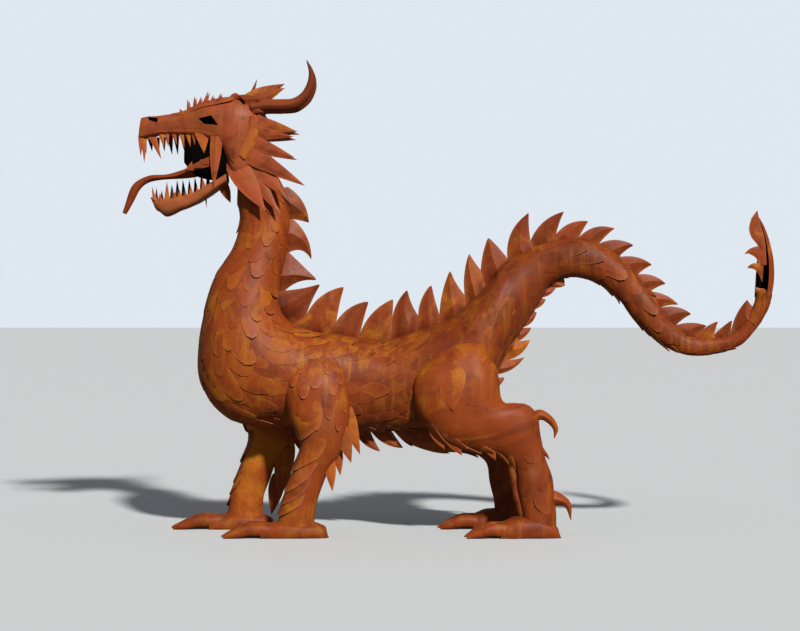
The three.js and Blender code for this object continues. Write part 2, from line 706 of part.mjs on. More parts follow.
function fin({ start, end, tip, bulge, hollow, outwardSide, gap = 0 }) {
  const face = new THREE.Vector3(0, -outwardSide, 0);
  const edgePoint = (corner, bow, u) => {
    const chord = tip.clone().sub(corner);
    const aside = new THREE.Vector3(-chord.z, 0, chord.x).multiplyScalar(outwardSide);
    return corner
      .clone()
      .addScaledVector(chord, u)
      .addScaledVector(aside, 4 * bow * u * (1 - u));
  };
  const ring = (first, second, ridge) => {
    const across = first.clone().sub(second).normalize();
    const middle = first.clone().lerp(second, 0.5);
    return [
      first.clone().addScaledVector(across, gap),
      middle.clone().addScaledVector(face, ridge + gap),
      second.clone().addScaledVector(across, -gap),
      middle.clone().addScaledVector(face, -ridge - gap),
    ];
  };
  const fold = FIN_FOLD * start.distanceTo(end);
  const rings = FIN_ROWS.map((u) =>
    ring(edgePoint(start, bulge, u), edgePoint(end, hollow, u), fold * (1 - u) ** 0.6),
  );
  rings.unshift(ring(footOf(start, outwardSide), footOf(end, outwardSide), fold));
  const lengthwise = tip.clone().sub(start.clone().lerp(end, 0.5)).normalize();
  return loft(rings, tip.clone().addScaledVector(lengthwise, 6 * gap));
}

// Fins in a row, each trimmed to the hide and round the ones before it.
function rowOfFins(rows, outwardSide) {
  const fins = rows.map(([x1, z1, x2, z2, tipX, tipZ, bulge, hollow]) => ({
    start: inFrame(x1, z1),
    end: inFrame(x2, z2),
    tip: inFrame(tipX, tipZ),
    bulge,
    hollow,
    outwardSide,
  }));
  return fins.map((shape, i) => {
    const before = fins.slice(Math.max(0, i - 2), i).map((other) => fin({ ...other, gap: 2 * WELD_GAP }));
    return fitted(fin(shape), envelope, ...before);
  });
}

// The crest, from the mane to the tail's end: where a base starts, where its tip is, and how its edges bend.
// A base ends where the next one starts.
const CREST_FINS = [
  [-33.8, 73.0, -29.4, 65.6, 0.12, 0.02],
  [-32.7, 66.2, -28.9, 57.8, 0.11, 0.25],
  [-33.6, 59.2, -27.9, 53.5, 0, 0.12],
  [-34.4, 51.2, -27.2, 52.4, -0.03, 0.03],
  [-29.9, 46.2, -22.2, 51.9, 0.12, 0.02],
  [-23.6, 44.7, -17.0, 48.8, 0.11, 0.01],
  [-18.6, 42.3, -11.8, 49.3, 0.1, 0],
  [-11.9, 43.0, -8.8, 51.2, 0.11, 0.05],
  [-6.4, 45.9, -3.7, 52.2, 0.09, 0.02],
  [-1.9, 46.2, 0.3, 55.2, 0.045, 0.05],
  [3.4, 50.3, 4.3, 58.8, 0.055, 0.02],
  [6.8, 55.5, 8.4, 62.2, 0.04, -0.02],
  [12.4, 58.0, 16.8, 67.5, 0.14, 0.03],
  [17.3, 61.7, 24.2, 67.8, 0.12, 0.03],
  [22.7, 63.1, 29.3, 65.8, 0.13, 0.02],
  [27.6, 62.5, 34.9, 64.3, 0.15, 0.04],
  [31.8, 61.1, 38.9, 60.8, 0.12, 0.05],
  [35.9, 58.2, 42.8, 56.7, 0.11, 0.05],
  [40.0, 54.6, 45.7, 52.7, 0.11, 0.05],
  [42.6, 51.0, 48.4, 48.3, 0.09, 0.07],
  [44.8, 47.5, 51.1, 46.3, 0.12, 0.05],
  [48.1, 43.9, 54.3, 43.8, 0.08, 0],
  [52.5, 41.8, 56.7, 44.6, 0.06, 0.03],
  [56.1, 41.9, 59.7, 44.8, 0.02, 0.02],
  [59.6, 42.1, 62.9, 49.1, 0.08, 0.04],
];
const CREST_END = [64.6, 47.4];
function crestSolids() {
  const rows = CREST_FINS.map(([x, z, tipX, tipZ, bulge, hollow], i) => {
    const [endX, endZ] = CREST_FINS[i + 1] ?? CREST_END;
    return [x, z, endX, endZ, tipX, tipZ, bulge, hollow];
  });
  return rowOfFins(rows, 1);
}

// Fins under the tail root and under the belly: both base corners, the tip, and how the edges bend.
const UNDER_TAIL_FINS = [
  [10.2, 30.6, 9.6, 32.7, 11.8, 32.7, 0.05, 0],
  [9.4, 33.4, 12.7, 36.5, 16.0, 37.0, 0.12, 0.03],
  [12.7, 36.5, 14.8, 40.5, 17.2, 40.6, 0.12, 0],
  [14.8, 40.5, 15.4, 43.3, 17.4, 43.2, 0.08, 0],
  [15.4, 43.3, 17.2, 47.0, 18.6, 46.3, 0.14, -0.1],
  [17.2, 47.1, 19.0, 49.7, 20.5, 49.1, 0.14, -0.05],
  [19.0, 49.7, 21.4, 52.1, 22.6, 51.6, 0.14, -0.05],
  [21.4, 52.1, 24.5, 53.1, 24.4, 52.1, 0.1, 0],
];
const BELLY_FINS = [
  [-19.9, 21.6, -16.5, 21.6, -14.5, 17.2, 0.12, 0.03],
  [-16.5, 21.6, -12.1, 21.6, -9.7, 17.9, 0.12, 0],
  [-11.5, 21.4, -7.9, 22.2, -6.0, 19.5, 0.12, 0],
];

// The open end of the tail: a channel that opens forward, with its near wall drawn out as a blade and hooks.
const CHANNEL_WALL = 0.45;
function tailEnd() {
  const ribs = ribsAlong(CHANNEL_LINE, 0.85);
  const hollowRibs = ribs.map(([x1, z1, x2, z2, half]) => {
    const inner = [x1 - 1.6, z1];
    return [...inner, x2 - CHANNEL_WALL, z2, Math.max(0.05, half - CHANNEL_WALL)];
  });
  const channel = limbSolid(limbOf(ribs), { steps: 6, sides: 8 });
  const hollow = limbSolid(limbOf(hollowRibs), { steps: 5, sides: 6 });
  const wall = LEG_SIDE * 1.2;
  const blade = leaf({
    root: inFrame(66.6, 54.2, wall),
    tip: inFrame(65.0, 68.1, wall * 0.4),
    across: new THREE.Vector3(-1, 0, 0),
    width: shares(3.3),
    fold: 9,
    rootShare: 0.4,
    bow: shares(0.8),
    steps: 5,
  });
  const hooks = [
    [66.6, 56.9, 62.1, 58.9],
    [66.6, 54.0, 62.6, 56.1],
  ].map(([x1, z1, x2, z2]) =>
    leaf({
      root: inFrame(x1, z1, wall),
      tip: inFrame(x2, z2, wall),
      across: new THREE.Vector3(0, 0, 1),
      width: shares(2.1),
      fold: 9,
      bow: shares(0.6),
    }),
  );
  return fitted(joined([channel.subtract(hollow), blade, ...hooks]), envelope);
}

// The leaf that stands up between the horns, and the beard plate behind the chin.
const centreLeaf = (x1, z1, x2, z2, width, fold) =>
  leaf({
    root: inFrame(x1, z1),
    tip: inFrame(x2, z2),
    across: inFrame(z1 - z2, x2 - x1).normalize(),
    width: shares(width),
    fold,
    rootShare: 0.4,
  });

// Finish of each kind of piece: rust in its warmer and darker tones.
const RUST = { trunk: 0x9a4f24, leg: 0xa1562a, head: 0x96421f, plate: 0x9c4a26, horn: 0x7c3c22 };
const finish = (colour) => new THREE.MeshStandardMaterial({ color: colour, roughness: 0.6, metalness: 0.35 });

function meshOf(solid, name, colour) {
  const { numProp, numVert, vertProperties, triVerts } = solid.getMesh();
  const positions = new Float32Array(numVert * 3);
  for (let i = 0; i < numVert; i++) {
    positions.set(vertProperties.subarray(i * numProp, i * numProp + 3), i * 3);
  }
  const geometry = new THREE.BufferGeometry();
  geometry.setAttribute("position", new THREE.BufferAttribute(positions, 3));
  geometry.setIndex(new THREE.BufferAttribute(triVerts, 1));
  geometry.computeVertexNormals();
  const mesh = new THREE.Mesh(geometry, finish(colour));
  mesh.name = name;
  return mesh;
}

const dragon = new THREE.Group();
const weldOn = (solid, name, colour) => dragon.add(meshOf(solid, name, colour));
const numbered = (i) => String(i + 1).padStart(2, "0");

weldOn(hideSolid(), "scaled_trunk", RUST.trunk);
weldOn(skullSolid(), "skull", RUST.head);
weldOn(jawSolid(), "lower_jaw", RUST.head);
weldOn(tongueSolid(), "tongue", RUST.plate);
const POSES = {
  left: { side: LEG_SIDE, front: 0, hind: 0, crouch: 0 },
  right: { side: -LEG_SIDE, front: FRONT_STRIDE, hind: HIND_STRIDE, crouch: HIND_CROUCH },
};
for (const [name, { side, front, hind, crouch }] of Object.entries(POSES)) {
  const frontPose = { stride: front, settle: 0.4, crouch: 0 };
  const hindPose = { stride: hind, settle: 0.35, crouch };
  weldOn(legSolid({ ...FRONT_LEG, pose: frontPose, side }), `front_leg_${name}`, RUST.leg);
  weldOn(legSolid({ ...HIND_LEG, pose: hindPose, side }), `hind_leg_${name}`, RUST.leg);
  weldOn(hornSolid(side), `horn_${name}`, RUST.horn);
  weldOn(maneSolid(side), `mane_${name}`, RUST.head);
}
crestSolids().forEach((plate, i) => weldOn(plate, `crest_plate_${numbered(i)}`, RUST.plate));
rowOfFins(UNDER_TAIL_FINS, -1).forEach((plate, i) => weldOn(plate, `under_tail_plate_${numbered(i)}`, RUST.plate));
rowOfFins(BELLY_FINS, -1).forEach((plate, i) => weldOn(plate, `belly_plate_${numbered(i)}`, RUST.plate));
weldOn(tailEnd(), "tail_end", RUST.plate);
weldOn(
  fitted(centreLeaf(-43.4, 90.2, -34.4, 94.3, 4.0, 18), skullSkin(WELD_GAP), crownThornGuard()),
  "crown_leaf",
  RUST.plate,
);
weldOn(
  fitted(centreLeaf(-48.0, 74.6, -45.9, 69.6, 2.6, 16), mouthGuard(), envelope, jawGuard()),
  "beard_leaf",
  RUST.plate,
);

export default dragon;
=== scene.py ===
# %% [markdown]
# # A dragon welded from weathering steel
# The real figure is sheet steel over a hidden frame: hundreds of cut and bent plates that overlap like
# shingles, with folded fins along the spine. Only the rust that grew on it gives it colour.
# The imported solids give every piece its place. Each one is dressed here with a finer piece of sheet work.

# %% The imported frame
import functools
import math

import bmesh
import bpy
import numpy as np
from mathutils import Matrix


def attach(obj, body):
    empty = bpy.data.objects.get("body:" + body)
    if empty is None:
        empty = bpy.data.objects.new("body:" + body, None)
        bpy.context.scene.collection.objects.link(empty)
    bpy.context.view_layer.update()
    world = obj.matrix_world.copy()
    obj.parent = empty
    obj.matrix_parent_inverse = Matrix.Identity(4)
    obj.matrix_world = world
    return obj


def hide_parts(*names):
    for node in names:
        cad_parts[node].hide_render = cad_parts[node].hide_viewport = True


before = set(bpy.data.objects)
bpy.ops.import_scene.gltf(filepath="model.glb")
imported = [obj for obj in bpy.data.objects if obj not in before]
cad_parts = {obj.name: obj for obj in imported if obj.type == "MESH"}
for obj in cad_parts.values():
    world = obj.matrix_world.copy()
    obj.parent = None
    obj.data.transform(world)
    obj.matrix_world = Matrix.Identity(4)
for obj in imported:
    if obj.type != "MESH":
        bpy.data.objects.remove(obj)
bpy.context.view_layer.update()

# %% [markdown]
# ## Camera, light and floor
# The picture was taken from eye level with a long lens, square to the figure's left side, so that the far
# legs are hardly smaller than the near ones. The sun stood high behind the viewer, a little to the right.
# A sun lamp with a wide disc gives its direction without its hard edge, and a dim sky keeps the undersides
# near black. The floor looks pale but throws little light back up, so that the belly keeps its shade.

# %% Camera
PHOTO_WIDTH = 800
SENSOR = 36.0
FOCAL_PIXELS = 2200
EYE = (-0.281, -12.76, 1.572)
LOOK_DOWN = math.radians(1.39)

camera = bpy.data.objects.new("camera", bpy.data.cameras.new("camera"))
bpy.context.scene.collection.objects.link(camera)
camera.data.sensor_width = SENSOR
camera.data.lens = FOCAL_PIXELS * SENSOR / PHOTO_WIDTH
camera.location = EYE
camera.rotation_euler = (math.pi / 2 - LOOK_DOWN, 0.0, 0.0)
camera.data.clip_end = 500.0
bpy.context.scene.camera = camera
print("lens", camera.data.lens, "mm")


# %% A shorthand for shader nodes
def node(tree, kind, values=None, **settings):
    """Adds a shader node, sets what it is, and fills or links its inputs."""
    made = tree.nodes.new(kind)
    for name, value in settings.items():
        setattr(made, name, value)
    for socket, value in (values or {}).items():
        if isinstance(value, bpy.types.NodeSocket):
            tree.links.new(value, made.inputs[socket])
        else:
            made.inputs[socket].default_value = value
    return made


# %% Sun, sky and floor
SUN_FROM = (0.36, -0.85, 0.68)
SUN_STRENGTH = 4.4
SKY_STRENGTH = 0.18
BACKDROP = (0.74, 0.80, 0.87, 1.0)
FLOOR_SEEN = (0.62, 0.65, 0.68, 1.0)
FLOOR_THROWN = (0.14, 0.14, 0.13, 1.0)

sun = bpy.data.objects.new("sun", bpy.data.lights.new("sun", "SUN"))
bpy.context.scene.collection.objects.link(sun)
sun.data.energy = SUN_STRENGTH
sun.data.angle = math.radians(4.0)
sun.data.color = (1.0, 0.965, 0.91)
aim = np.array(SUN_FROM) / np.linalg.norm(SUN_FROM)
sun.rotation_euler = (math.acos(aim[2]), 0.0, math.atan2(aim[0], -aim[1]))

world = bpy.data.worlds.new("sky")
bpy.context.scene.world = world
world.use_nodes = True
sky = world.node_tree
sky.nodes.clear()
seen = node(sky, "ShaderNodeBackground", {"Color": BACKDROP, "Strength": 1.0})
lit = node(sky, "ShaderNodeBackground", {"Color": (0.93, 0.95, 1.0, 1.0), "Strength": SKY_STRENGTH})
ray = node(sky, "ShaderNodeLightPath")
both = node(sky, "ShaderNodeMixShader", {0: ray.outputs["Is Camera Ray"], 1: lit.outputs[0], 2: seen.outputs[0]})
node(sky, "ShaderNodeOutputWorld", {"Surface": both.outputs[0]})

floor_mesh = bpy.data.meshes.new("floor")
FLOOR_HALF = 40.0
corners = [(x * FLOOR_HALF, y * FLOOR_HALF, 0) for x, y in ((-1, -1), (1, -1), (1, 1), (-1, 1))]
floor_mesh.from_pydata(corners, [], [(0, 1, 2, 3)])
floor = bpy.data.objects.new("floor", floor_mesh)
bpy.context.scene.collection.objects.link(floor)
floor_paint = bpy.data.materials.new("floor_paint")
floor_paint.use_nodes = True
paint = floor_paint.node_tree
paint.nodes["Principled BSDF"].inputs["Roughness"].default_value = 0.9
ray = node(paint, "ShaderNodeLightPath")
tint = node(paint, "ShaderNodeMix", {0: ray.outputs["Is Camera Ray"], 6: FLOOR_THROWN, 7: FLOOR_SEEN}, data_type="RGBA")
paint.links.new(tint.outputs[2], paint.nodes["Principled BSDF"].inputs["Base Color"])
floor_mesh.materials.append(floor_paint)
bpy.context.scene.view_settings.view_transform = "Standard"
print("sun from", [round(float(v), 2) for v in aim])

# %% [markdown]
# ## Rust as node groups
# Every plate has the same skin, so its parts are built once as shader groups: broad patches of ochre and
# maroon, streaks where rain has run down, and the fine grain of the scale. A group puts out masks and a
# height; each material mixes its own colours by them. Two values come from the mesh itself: the tone of
# each plate, because no two cuttings rust alike, and its rim. On the horns and the far front leg the tone
# also carries painted light. Above zero the rim is a cut edge, which stays brighter; below zero it is
# painted shade, down to near black, at the feet of the fins and on the backs of the teeth.


# %% Group helper
def group_of(name, inputs, outputs):
    """An empty shader group with named float inputs and outputs."""
    tree = bpy.data.node_groups.new(name, "ShaderNodeTree")
    for label, value in inputs.items():
        tree.interface.new_socket(name=label, in_out="INPUT", socket_type="NodeSocketFloat").default_value = value
    for label in outputs:
        tree.interface.new_socket(name=label, in_out="OUTPUT", socket_type="NodeSocketFloat")
    return tree, tree.nodes.new("NodeGroupInput"), tree.nodes.new("NodeGroupOutput")


def put_group(tree, group, **values):
    """Places a group in a material. Socket names are given with underscores for spaces."""
    made = tree.nodes.new("ShaderNodeGroup")
    made.node_tree = group
    for label, value in values.items():
        socket = made.inputs[label.replace("_", " ")]
        if isinstance(value, bpy.types.NodeSocket):
            tree.links.new(value, socket)
        else:
            socket.default_value = value
    return made


def ramp(tree, value, low, high, to_low=0.0, to_high=1.0):
    values = {"Value": value, "From Min": low, "From Max": high, "To Min": to_low, "To Max": to_high}
    return node(tree, "ShaderNodeMapRange", values).outputs[0]


def maths(tree, operation, a, b):
    return node(tree, "ShaderNodeMath", {0: a, 1: b}, operation=operation).outputs[0]


def noise(tree, vector, scale, detail, distortion=0.0):
    values = {"Vector": vector, "Scale": scale, "Detail": detail, "Roughness": 0.6, "Distortion": distortion}
    return node(tree, "ShaderNodeTexNoise", values).outputs[0]


# %% Patches of rust, and the plate's own tone
patches, given, out = group_of(
    "rust_patches", {"Tone": 0.5, "Patch Scale": 3.0, "Spread": 0.5}, ["Ochre", "Maroon", "Pale"]
)
place = node(patches, "ShaderNodeTexCoord").outputs["Object"]
tone_shift = maths(patches, "MULTIPLY", given.outputs["Tone"], 3.0)
shift = node(patches, "ShaderNodeCombineXYZ", {0: tone_shift, 1: 0.0, 2: 0.0}).outputs[0]
spot = node(patches, "ShaderNodeVectorMath", {0: place, 1: shift}, operation="ADD").outputs[0]
broad = noise(patches, spot, given.outputs["Patch Scale"], 5.0, 0.8)
other = noise(patches, spot, maths(patches, "MULTIPLY", given.outputs["Patch Scale"], 2.3), 6.0, 0.5)
tone_push = ramp(patches, given.outputs["Tone"], 0.0, 1.0, -0.10, 0.10)
ochre_at = maths(patches, "ADD", broad, tone_push)
patches.links.new(ramp(patches, ochre_at, 0.52, 0.68), out.inputs["Ochre"])
maroon_at = maths(patches, "SUBTRACT", other, tone_push)
patches.links.new(ramp(patches, maroon_at, 0.50, 0.66), out.inputs["Maroon"])
pale_at = maths(patches, "MULTIPLY", ramp(patches, broad, 0.46, 0.30), ramp(patches, other, 0.42, 0.60))
patches.links.new(maths(patches, "MULTIPLY", pale_at, given.outputs["Spread"]), out.inputs["Pale"])
print("group", patches.name)

# %% Streaks that rain leaves, long in height and narrow across
streaks, given, out = group_of("rain_streaks", {"Width": 22.0, "Length": 0.09}, ["Streak"])
place = node(streaks, "ShaderNodeTexCoord").outputs["Object"]
drawn = node(streaks, "ShaderNodeCombineXYZ", {0: 1.0, 1: 1.0, 2: given.outputs["Length"]}).outputs[0]
down = node(streaks, "ShaderNodeVectorMath", {0: place, 1: drawn}, operation="MULTIPLY").outputs[0]
runs = noise(streaks, down, given.outputs["Width"], 4.0, 0.3)
where = noise(streaks, place, 2.6, 2.0)
both = maths(streaks, "MULTIPLY", ramp(streaks, runs, 0.47, 0.66), ramp(streaks, where, 0.40, 0.62))
streaks.links.new(both, out.inputs["Streak"])
print("group", streaks.name)

# %% Grain of the rusted scale, and the hammer's shallow marks
grain, given, out = group_of("scale_grain", {"Fineness": 190.0, "Pitting": 0.5}, ["Height", "Speckle"])
place = node(grain, "ShaderNodeTexCoord").outputs["Object"]
fine = noise(grain, place, given.outputs["Fineness"], 4.0)
hammered = noise(grain, place, 14.0, 3.0)
pits = ramp(grain, noise(grain, place, 60.0, 3.0), 0.60, 0.74)
height = maths(grain, "ADD", maths(grain, "MULTIPLY", fine, 0.25), hammered)
height = maths(grain, "SUBTRACT", height, maths(grain, "MULTIPLY", pits, given.outputs["Pitting"]))
grain.links.new(height, out.inputs["Height"])
grain.links.new(ramp(grain, fine, 0.35, 0.65), out.inputs["Speckle"])
print("group", grain.name)


# %% [markdown]
# ## One patina, in several tempers
# All finishes are the same rust with other shares of its colours: the chest is streaked with ochre, the
# head and fins are an even red brown, the horns are darker. A function with the shares as its values keeps
# them one family, where six hand-made materials would drift apart.


# %% Patina
def mix_colour(tree, share, a, b, blend="MIX"):
    return node(tree, "ShaderNodeMix", {0: share, 6: a, 7: b}, data_type="RGBA", blend_type=blend).outputs[2]


def patina(name, base, ochre, maroon, pale, *, patch=3.0, streak=0.7, spread=0.6, rough=0.5, bump=0.35, rim_light=0.5,
           specular=0.16):
    """A rusted steel finish from four colours and the shares in which they show."""
    material = bpy.data.materials.new(name)
    material.use_nodes = True
    tree = material.node_tree
    shader = tree.nodes["Principled BSDF"]
    tone = node(tree, "ShaderNodeAttribute", attribute_name="tone").outputs["Fac"]
    rim = node(tree, "ShaderNodeAttribute", attribute_name="rim").outputs["Fac"]
    spots = put_group(tree, patches, Tone=tone, Patch_Scale=patch, Spread=spread)
    rain = put_group(tree, streaks)
    scale = put_group(tree, grain)
    colour = mix_colour(tree, spots.outputs["Ochre"], (*base, 1), (*ochre, 1))
    colour = mix_colour(tree, maths(tree, "MULTIPLY", spots.outputs["Maroon"], 0.75), colour, (*maroon, 1))
    colour = mix_colour(tree, spots.outputs["Pale"], colour, (*pale, 1))
    colour = mix_colour(tree, maths(tree, "MULTIPLY", rain.outputs["Streak"], streak), colour, (*ochre, 1))
    worn = maths(tree, "MULTIPLY", ramp(tree, rim, 0.0, 1.0), rim_light)
    colour = mix_colour(tree, worn, colour, (*pale, 1))
    shade = ramp(tree, tone, 0.0, 1.0, 0.75, 1.15)
    # A negative rim darkens the colour down to 0.12 of itself: painted shade at the fins' feet and on the teeth's
    # backs.
    shade = maths(tree, "MULTIPLY", shade, ramp(tree, rim, -1.0, 0.0, 0.12, 1.0))
    shade = maths(tree, "MULTIPLY", shade, ramp(tree, scale.outputs["Speckle"], 0.0, 1.0, 0.90, 1.08))
    dull = node(tree, "ShaderNodeCombineColor", {0: shade, 1: shade, 2: shade}).outputs[0]
    colour = mix_colour(tree, 1.0, colour, dull, "MULTIPLY")
    tree.links.new(colour, shader.inputs["Base Color"])
    duller = ramp(tree, spots.outputs["Ochre"], 0.0, 1.0, rough, rough + 0.16)
    gloss = maths(tree, "ADD", duller, ramp(tree, scale.outputs["Speckle"], 0.0, 1.0, -0.05, 0.05))
    tree.links.new(gloss, shader.inputs["Roughness"])
    shader.inputs["Metallic"].default_value = 0.0
    shader.inputs["Specular IOR Level"].default_value = specular
    relief = node(tree, "ShaderNodeBump", {"Strength": bump, "Distance": 0.004, "Height": scale.outputs["Height"]})
    tree.links.new(relief.outputs[0], shader.inputs["Normal"])
    return material


RUSTY = (0.262, 0.046, 0.0080)
OCHRE = (0.400, 0.125, 0.008)
MAROON = (0.150, 0.026, 0.008)
PALE = (0.400, 0.130, 0.045)
REDDER = (0.240, 0.040, 0.009)
RUDDY = (0.345, 0.064, 0.022)
HORN_BROWN = (0.190, 0.040, 0.014)
# Near black: painted shade for the hollows, not a colour of the steel.
PAINTED_SHADE_BLACK = (0.004, 0.003, 0.003)

finish = {
    "hide_patina": patina("hide_patina", RUSTY, OCHRE, MAROON, PALE, patch=2.6, streak=0.95, spread=0.4),
    "leg_patina": patina("leg_patina", RUSTY, OCHRE, MAROON, PALE, patch=3.2, streak=0.6),
    "head_patina": patina("head_patina", RUDDY, OCHRE, MAROON, PALE, patch=4.5, streak=0.3, rough=0.46),
    "plate_patina": patina("plate_patina", REDDER, OCHRE, MAROON, PALE, patch=5.0, streak=0.25, rough=0.46),
    "horn_patina": patina("horn_patina", HORN_BROWN, REDDER, MAROON, PALE, patch=5.0, streak=0.2, rough=0.42),
    "tongue_patina": patina("tongue_patina", REDDER, RUSTY, MAROON, PALE, patch=6.0, streak=0.2, rough=0.46),
}
# The inner finish is painted shade: near black on the gullet, the walls of the eye and nostril pits and the inside of
# the tail's trough.
dark = patina("inner_painted_shade", PAINTED_SHADE_BLACK, PAINTED_SHADE_BLACK, PAINTED_SHADE_BLACK, PAINTED_SHADE_BLACK, streak=0.0, rough=0.85, rim_light=0.0, specular=0.0)
print(len(finish), "finishes and the dark of the inside")

# %% [markdown]
# ## Bending sheet to a limb
# Neck, trunk, tail, legs, horns and tongue are all limbs: two edges in the side view and a width. A point on
# a limb is given by how far along it lies, the angle round it and how far it stands off, so a plate laid
# on it bends with it. numpy works out whole grids of such points at once.

# %% Figure measure and rails
HEIGHT = 2.75
SHARE = HEIGHT / 100


def at(x, z, y=0.0):
    return np.array([x, y, z], float) * SHARE


def rail(points, t):
    """Points of a smooth curve through the given ones, for t from 0 to 1."""
    points = np.asarray(points, float)
    p = np.vstack([2 * points[0] - points[1], points, 2 * points[-1] - points[-2]])
    last = len(points) - 1
    s = np.clip(np.asarray(t, float), 0, 1) * last
    i = np.minimum(s.astype(int), last - 1)
    w = (s - i)[..., None]
    a, b, c, d = p[i], p[i + 1], p[i + 2], p[i + 3]
    start, end = (c - a) / 2, (d - b) / 2
    return (2 * b - 2 * c + start + end) * w**3 + (3 * c - 3 * b - 2 * start - end) * w**2 + start * w + b


def limb_of(ribs):
    table = np.array([[*rib, *([0.0] * (6 - len(rib)))] for rib in ribs]) * SHARE
    return {"edge": table[:, 0:2], "other": table[:, 2:4], "breadth": table[:, 4:6]}


def ribs_along(line, width_share, away=0.0):
    """Ribs square to a centre line, from its points and half depths."""
    line = np.array(line, float)
    t = np.linspace(0, 1, len(line))
    step = 1e-4
    ahead = rail(line[:, :2], np.minimum(t + step, 1)) - rail(line[:, :2], np.maximum(t - step, 0))
    ahead /= np.linalg.norm(ahead, axis=1, keepdims=True)
    x, z, half = line.T
    near = (x - ahead[:, 1] * half, z + ahead[:, 0] * half)
    far = (x + ahead[:, 1] * half, z - ahead[:, 0] * half)
    return np.column_stack([*near, *far, half * width_share, np.full(len(line), away)])


def skin(limb, t, angle, squareness=1.0, out=0.0, side=1):
    """Points of the oval round a limb, standing off by out metres. Angle 0 is its first edge."""
    t, angle, out = np.broadcast_arrays(np.asarray(t, float), angle, out)
    edge, other, breadth = rail(limb["edge"], t), rail(limb["other"], t), rail(limb["breadth"], t)
    deep = (edge - other) / 2
    depth = np.linalg.norm(deep, axis=-1)
    c = np.sign(np.cos(angle)) * np.abs(np.cos(angle)) ** squareness
    s = np.sign(np.sin(angle)) * np.abs(np.sin(angle)) ** squareness
    away = np.stack([deep[..., 0] / depth * c, s, deep[..., 1] / depth * c], -1)
    away /= np.linalg.norm(away, axis=-1, keepdims=True)
    middle = (edge + other) / 2
    y = side * breadth[..., 1] + breadth[..., 0] * s
    point = np.stack([middle[..., 0] + deep[..., 0] * c, y, middle[..., 1] + deep[..., 1] * c], -1)
    return point + away * out[..., None]


def dents(points, size, depth, seed):
    """A smooth, random push, as a hammer leaves in sheet."""
    rng = np.random.default_rng(seed)
    total = np.zeros(points.shape[:-1])
    waves = 9
    for _ in range(waves):
        way = rng.normal(size=3)
        way *= 2 * math.pi / (size * rng.uniform(0.7, 1.8) * np.linalg.norm(way))
        total += np.sin(points @ way + rng.uniform(0, 2 * math.pi))
    return depth * total / math.sqrt(waves)


print("one share of the height is", SHARE, "m")

# %% [markdown]
# ## Gathering sheets into a piece
# A welded piece is many sheets. Each sheet is a closed shell with a top, an underside a few millimetres
# below and a rim, so that its cut edge catches the light as real plate does. They are gathered in one list
# and become one mesh, which is far quicker than joining hundreds of objects.

# %% Shells
SHEET = 0.004


@functools.cache
def shell_faces(a, b):
    """Faces of a sheet whose top and underside are grids of a by b points."""
    n = a * b
    faces = []
    for i in range(a - 1):
        for j in range(b - 1):
            p = i * b + j
            faces.append((p, p + b, p + b + 1, p + 1))
            faces.append((n + p, n + p + 1, n + p + b + 1, n + p + b))
    loop = [j for j in range(b)] + [i * b + b - 1 for i in range(1, a)]
    loop += [(a - 1) * b + j for j in range(b - 2, -1, -1)] + [i * b for i in range(a - 2, 0, -1)]
    for p, q in zip(loop, loop[1:] + loop[:1]):
        faces.append((p, q, n + q, n + p))
    return faces


@functools.cache
def tube_faces(rows, sides):
    """Faces of a tube whose ends are fanned to two further points."""
    faces = []
    for j in range(sides):
        k = (j + 1) % sides
        for i in range(rows - 1):
            p = i * sides
            faces.append((p + j, p + k, p + sides + k, p + sides + j))
        faces.append((rows * sides, k, j))
        faces.append((rows * sides + 1, (rows - 1) * sides + j, (rows - 1) * sides + k))
    return faces


class Sheetwork:
    """Sheets gathered for one piece, with the tone, rim and finish of each."""

    def __init__(self):
        self.points, self.faces, self.tones, self.rims, self.finishes = [], [], [], [], []
        self.count = 0

    def add(self, points, faces, tone=0.5, rim=0.0, finish=0):
        points = np.asarray(points, float).reshape(-1, 3)
        self.points.append(points)
        self.faces.extend(tuple(i + self.count for i in face) for face in faces)
        self.tones.append(np.broadcast_to(tone, len(points)))
        self.rims.append(np.broadcast_to(rim, len(points)))
        self.finishes.extend([finish] * len(faces))
        self.count += len(points)

    def shell(self, top, under, tone=0.5, rim=None, finish=0):
        edge = np.zeros(top.shape[:2]) if rim is None else rim
        self.add(np.stack([top, under]), shell_faces(*top.shape[:2]), tone, np.stack([edge, edge]).ravel(), finish)

    def tube(self, rings, tone=0.5, tip=None, rim=0.0, finish=0):
        ends = [rings[0].mean(0), rings[-1].mean(0) if tip is None else tip]
        points = np.vstack([rings.reshape(-1, 3), ends])
        self.add(points, tube_faces(*rings.shape[:2]), tone, rim, finish)

    def piece(self, name, slot, *nodes, crease=34):
        """Makes the mesh, which stands for the CAD nodes and rides on the one body."""
        mesh = bpy.data.meshes.new(name)
        mesh.from_pydata(np.vstack(self.points).tolist(), [], self.faces)
        mesh.attributes.new("tone", "FLOAT", "POINT").data.foreach_set("value", np.concatenate(self.tones))
        mesh.attributes.new("rim", "FLOAT", "POINT").data.foreach_set("value", np.concatenate(self.rims))
        mesh.materials.append(finish[slot])
        # Faces marked with finish 1 take the near-black inner finish, which is painted shade.
        if any(self.finishes):
            mesh.materials.append(dark)
            mesh.polygons.foreach_set("material_index", self.finishes)
        shaped = bmesh.new()
        shaped.from_mesh(mesh)
        bmesh.ops.recalc_face_normals(shaped, faces=shaped.faces)
        shaped.to_mesh(mesh)
        shaped.free()
        mesh.shade_smooth()
        mesh.set_sharp_from_angle(angle=math.radians(crease))
        thing = bpy.data.objects.new(name, mesh)
        bpy.context.scene.collection.objects.link(thing)
        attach(thing, "root")
        if nodes:
            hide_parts(*nodes)
        triangles = sum(len(face) - 2 for face in self.faces)
        print(f"{name}: {triangles} triangles")
        return thing


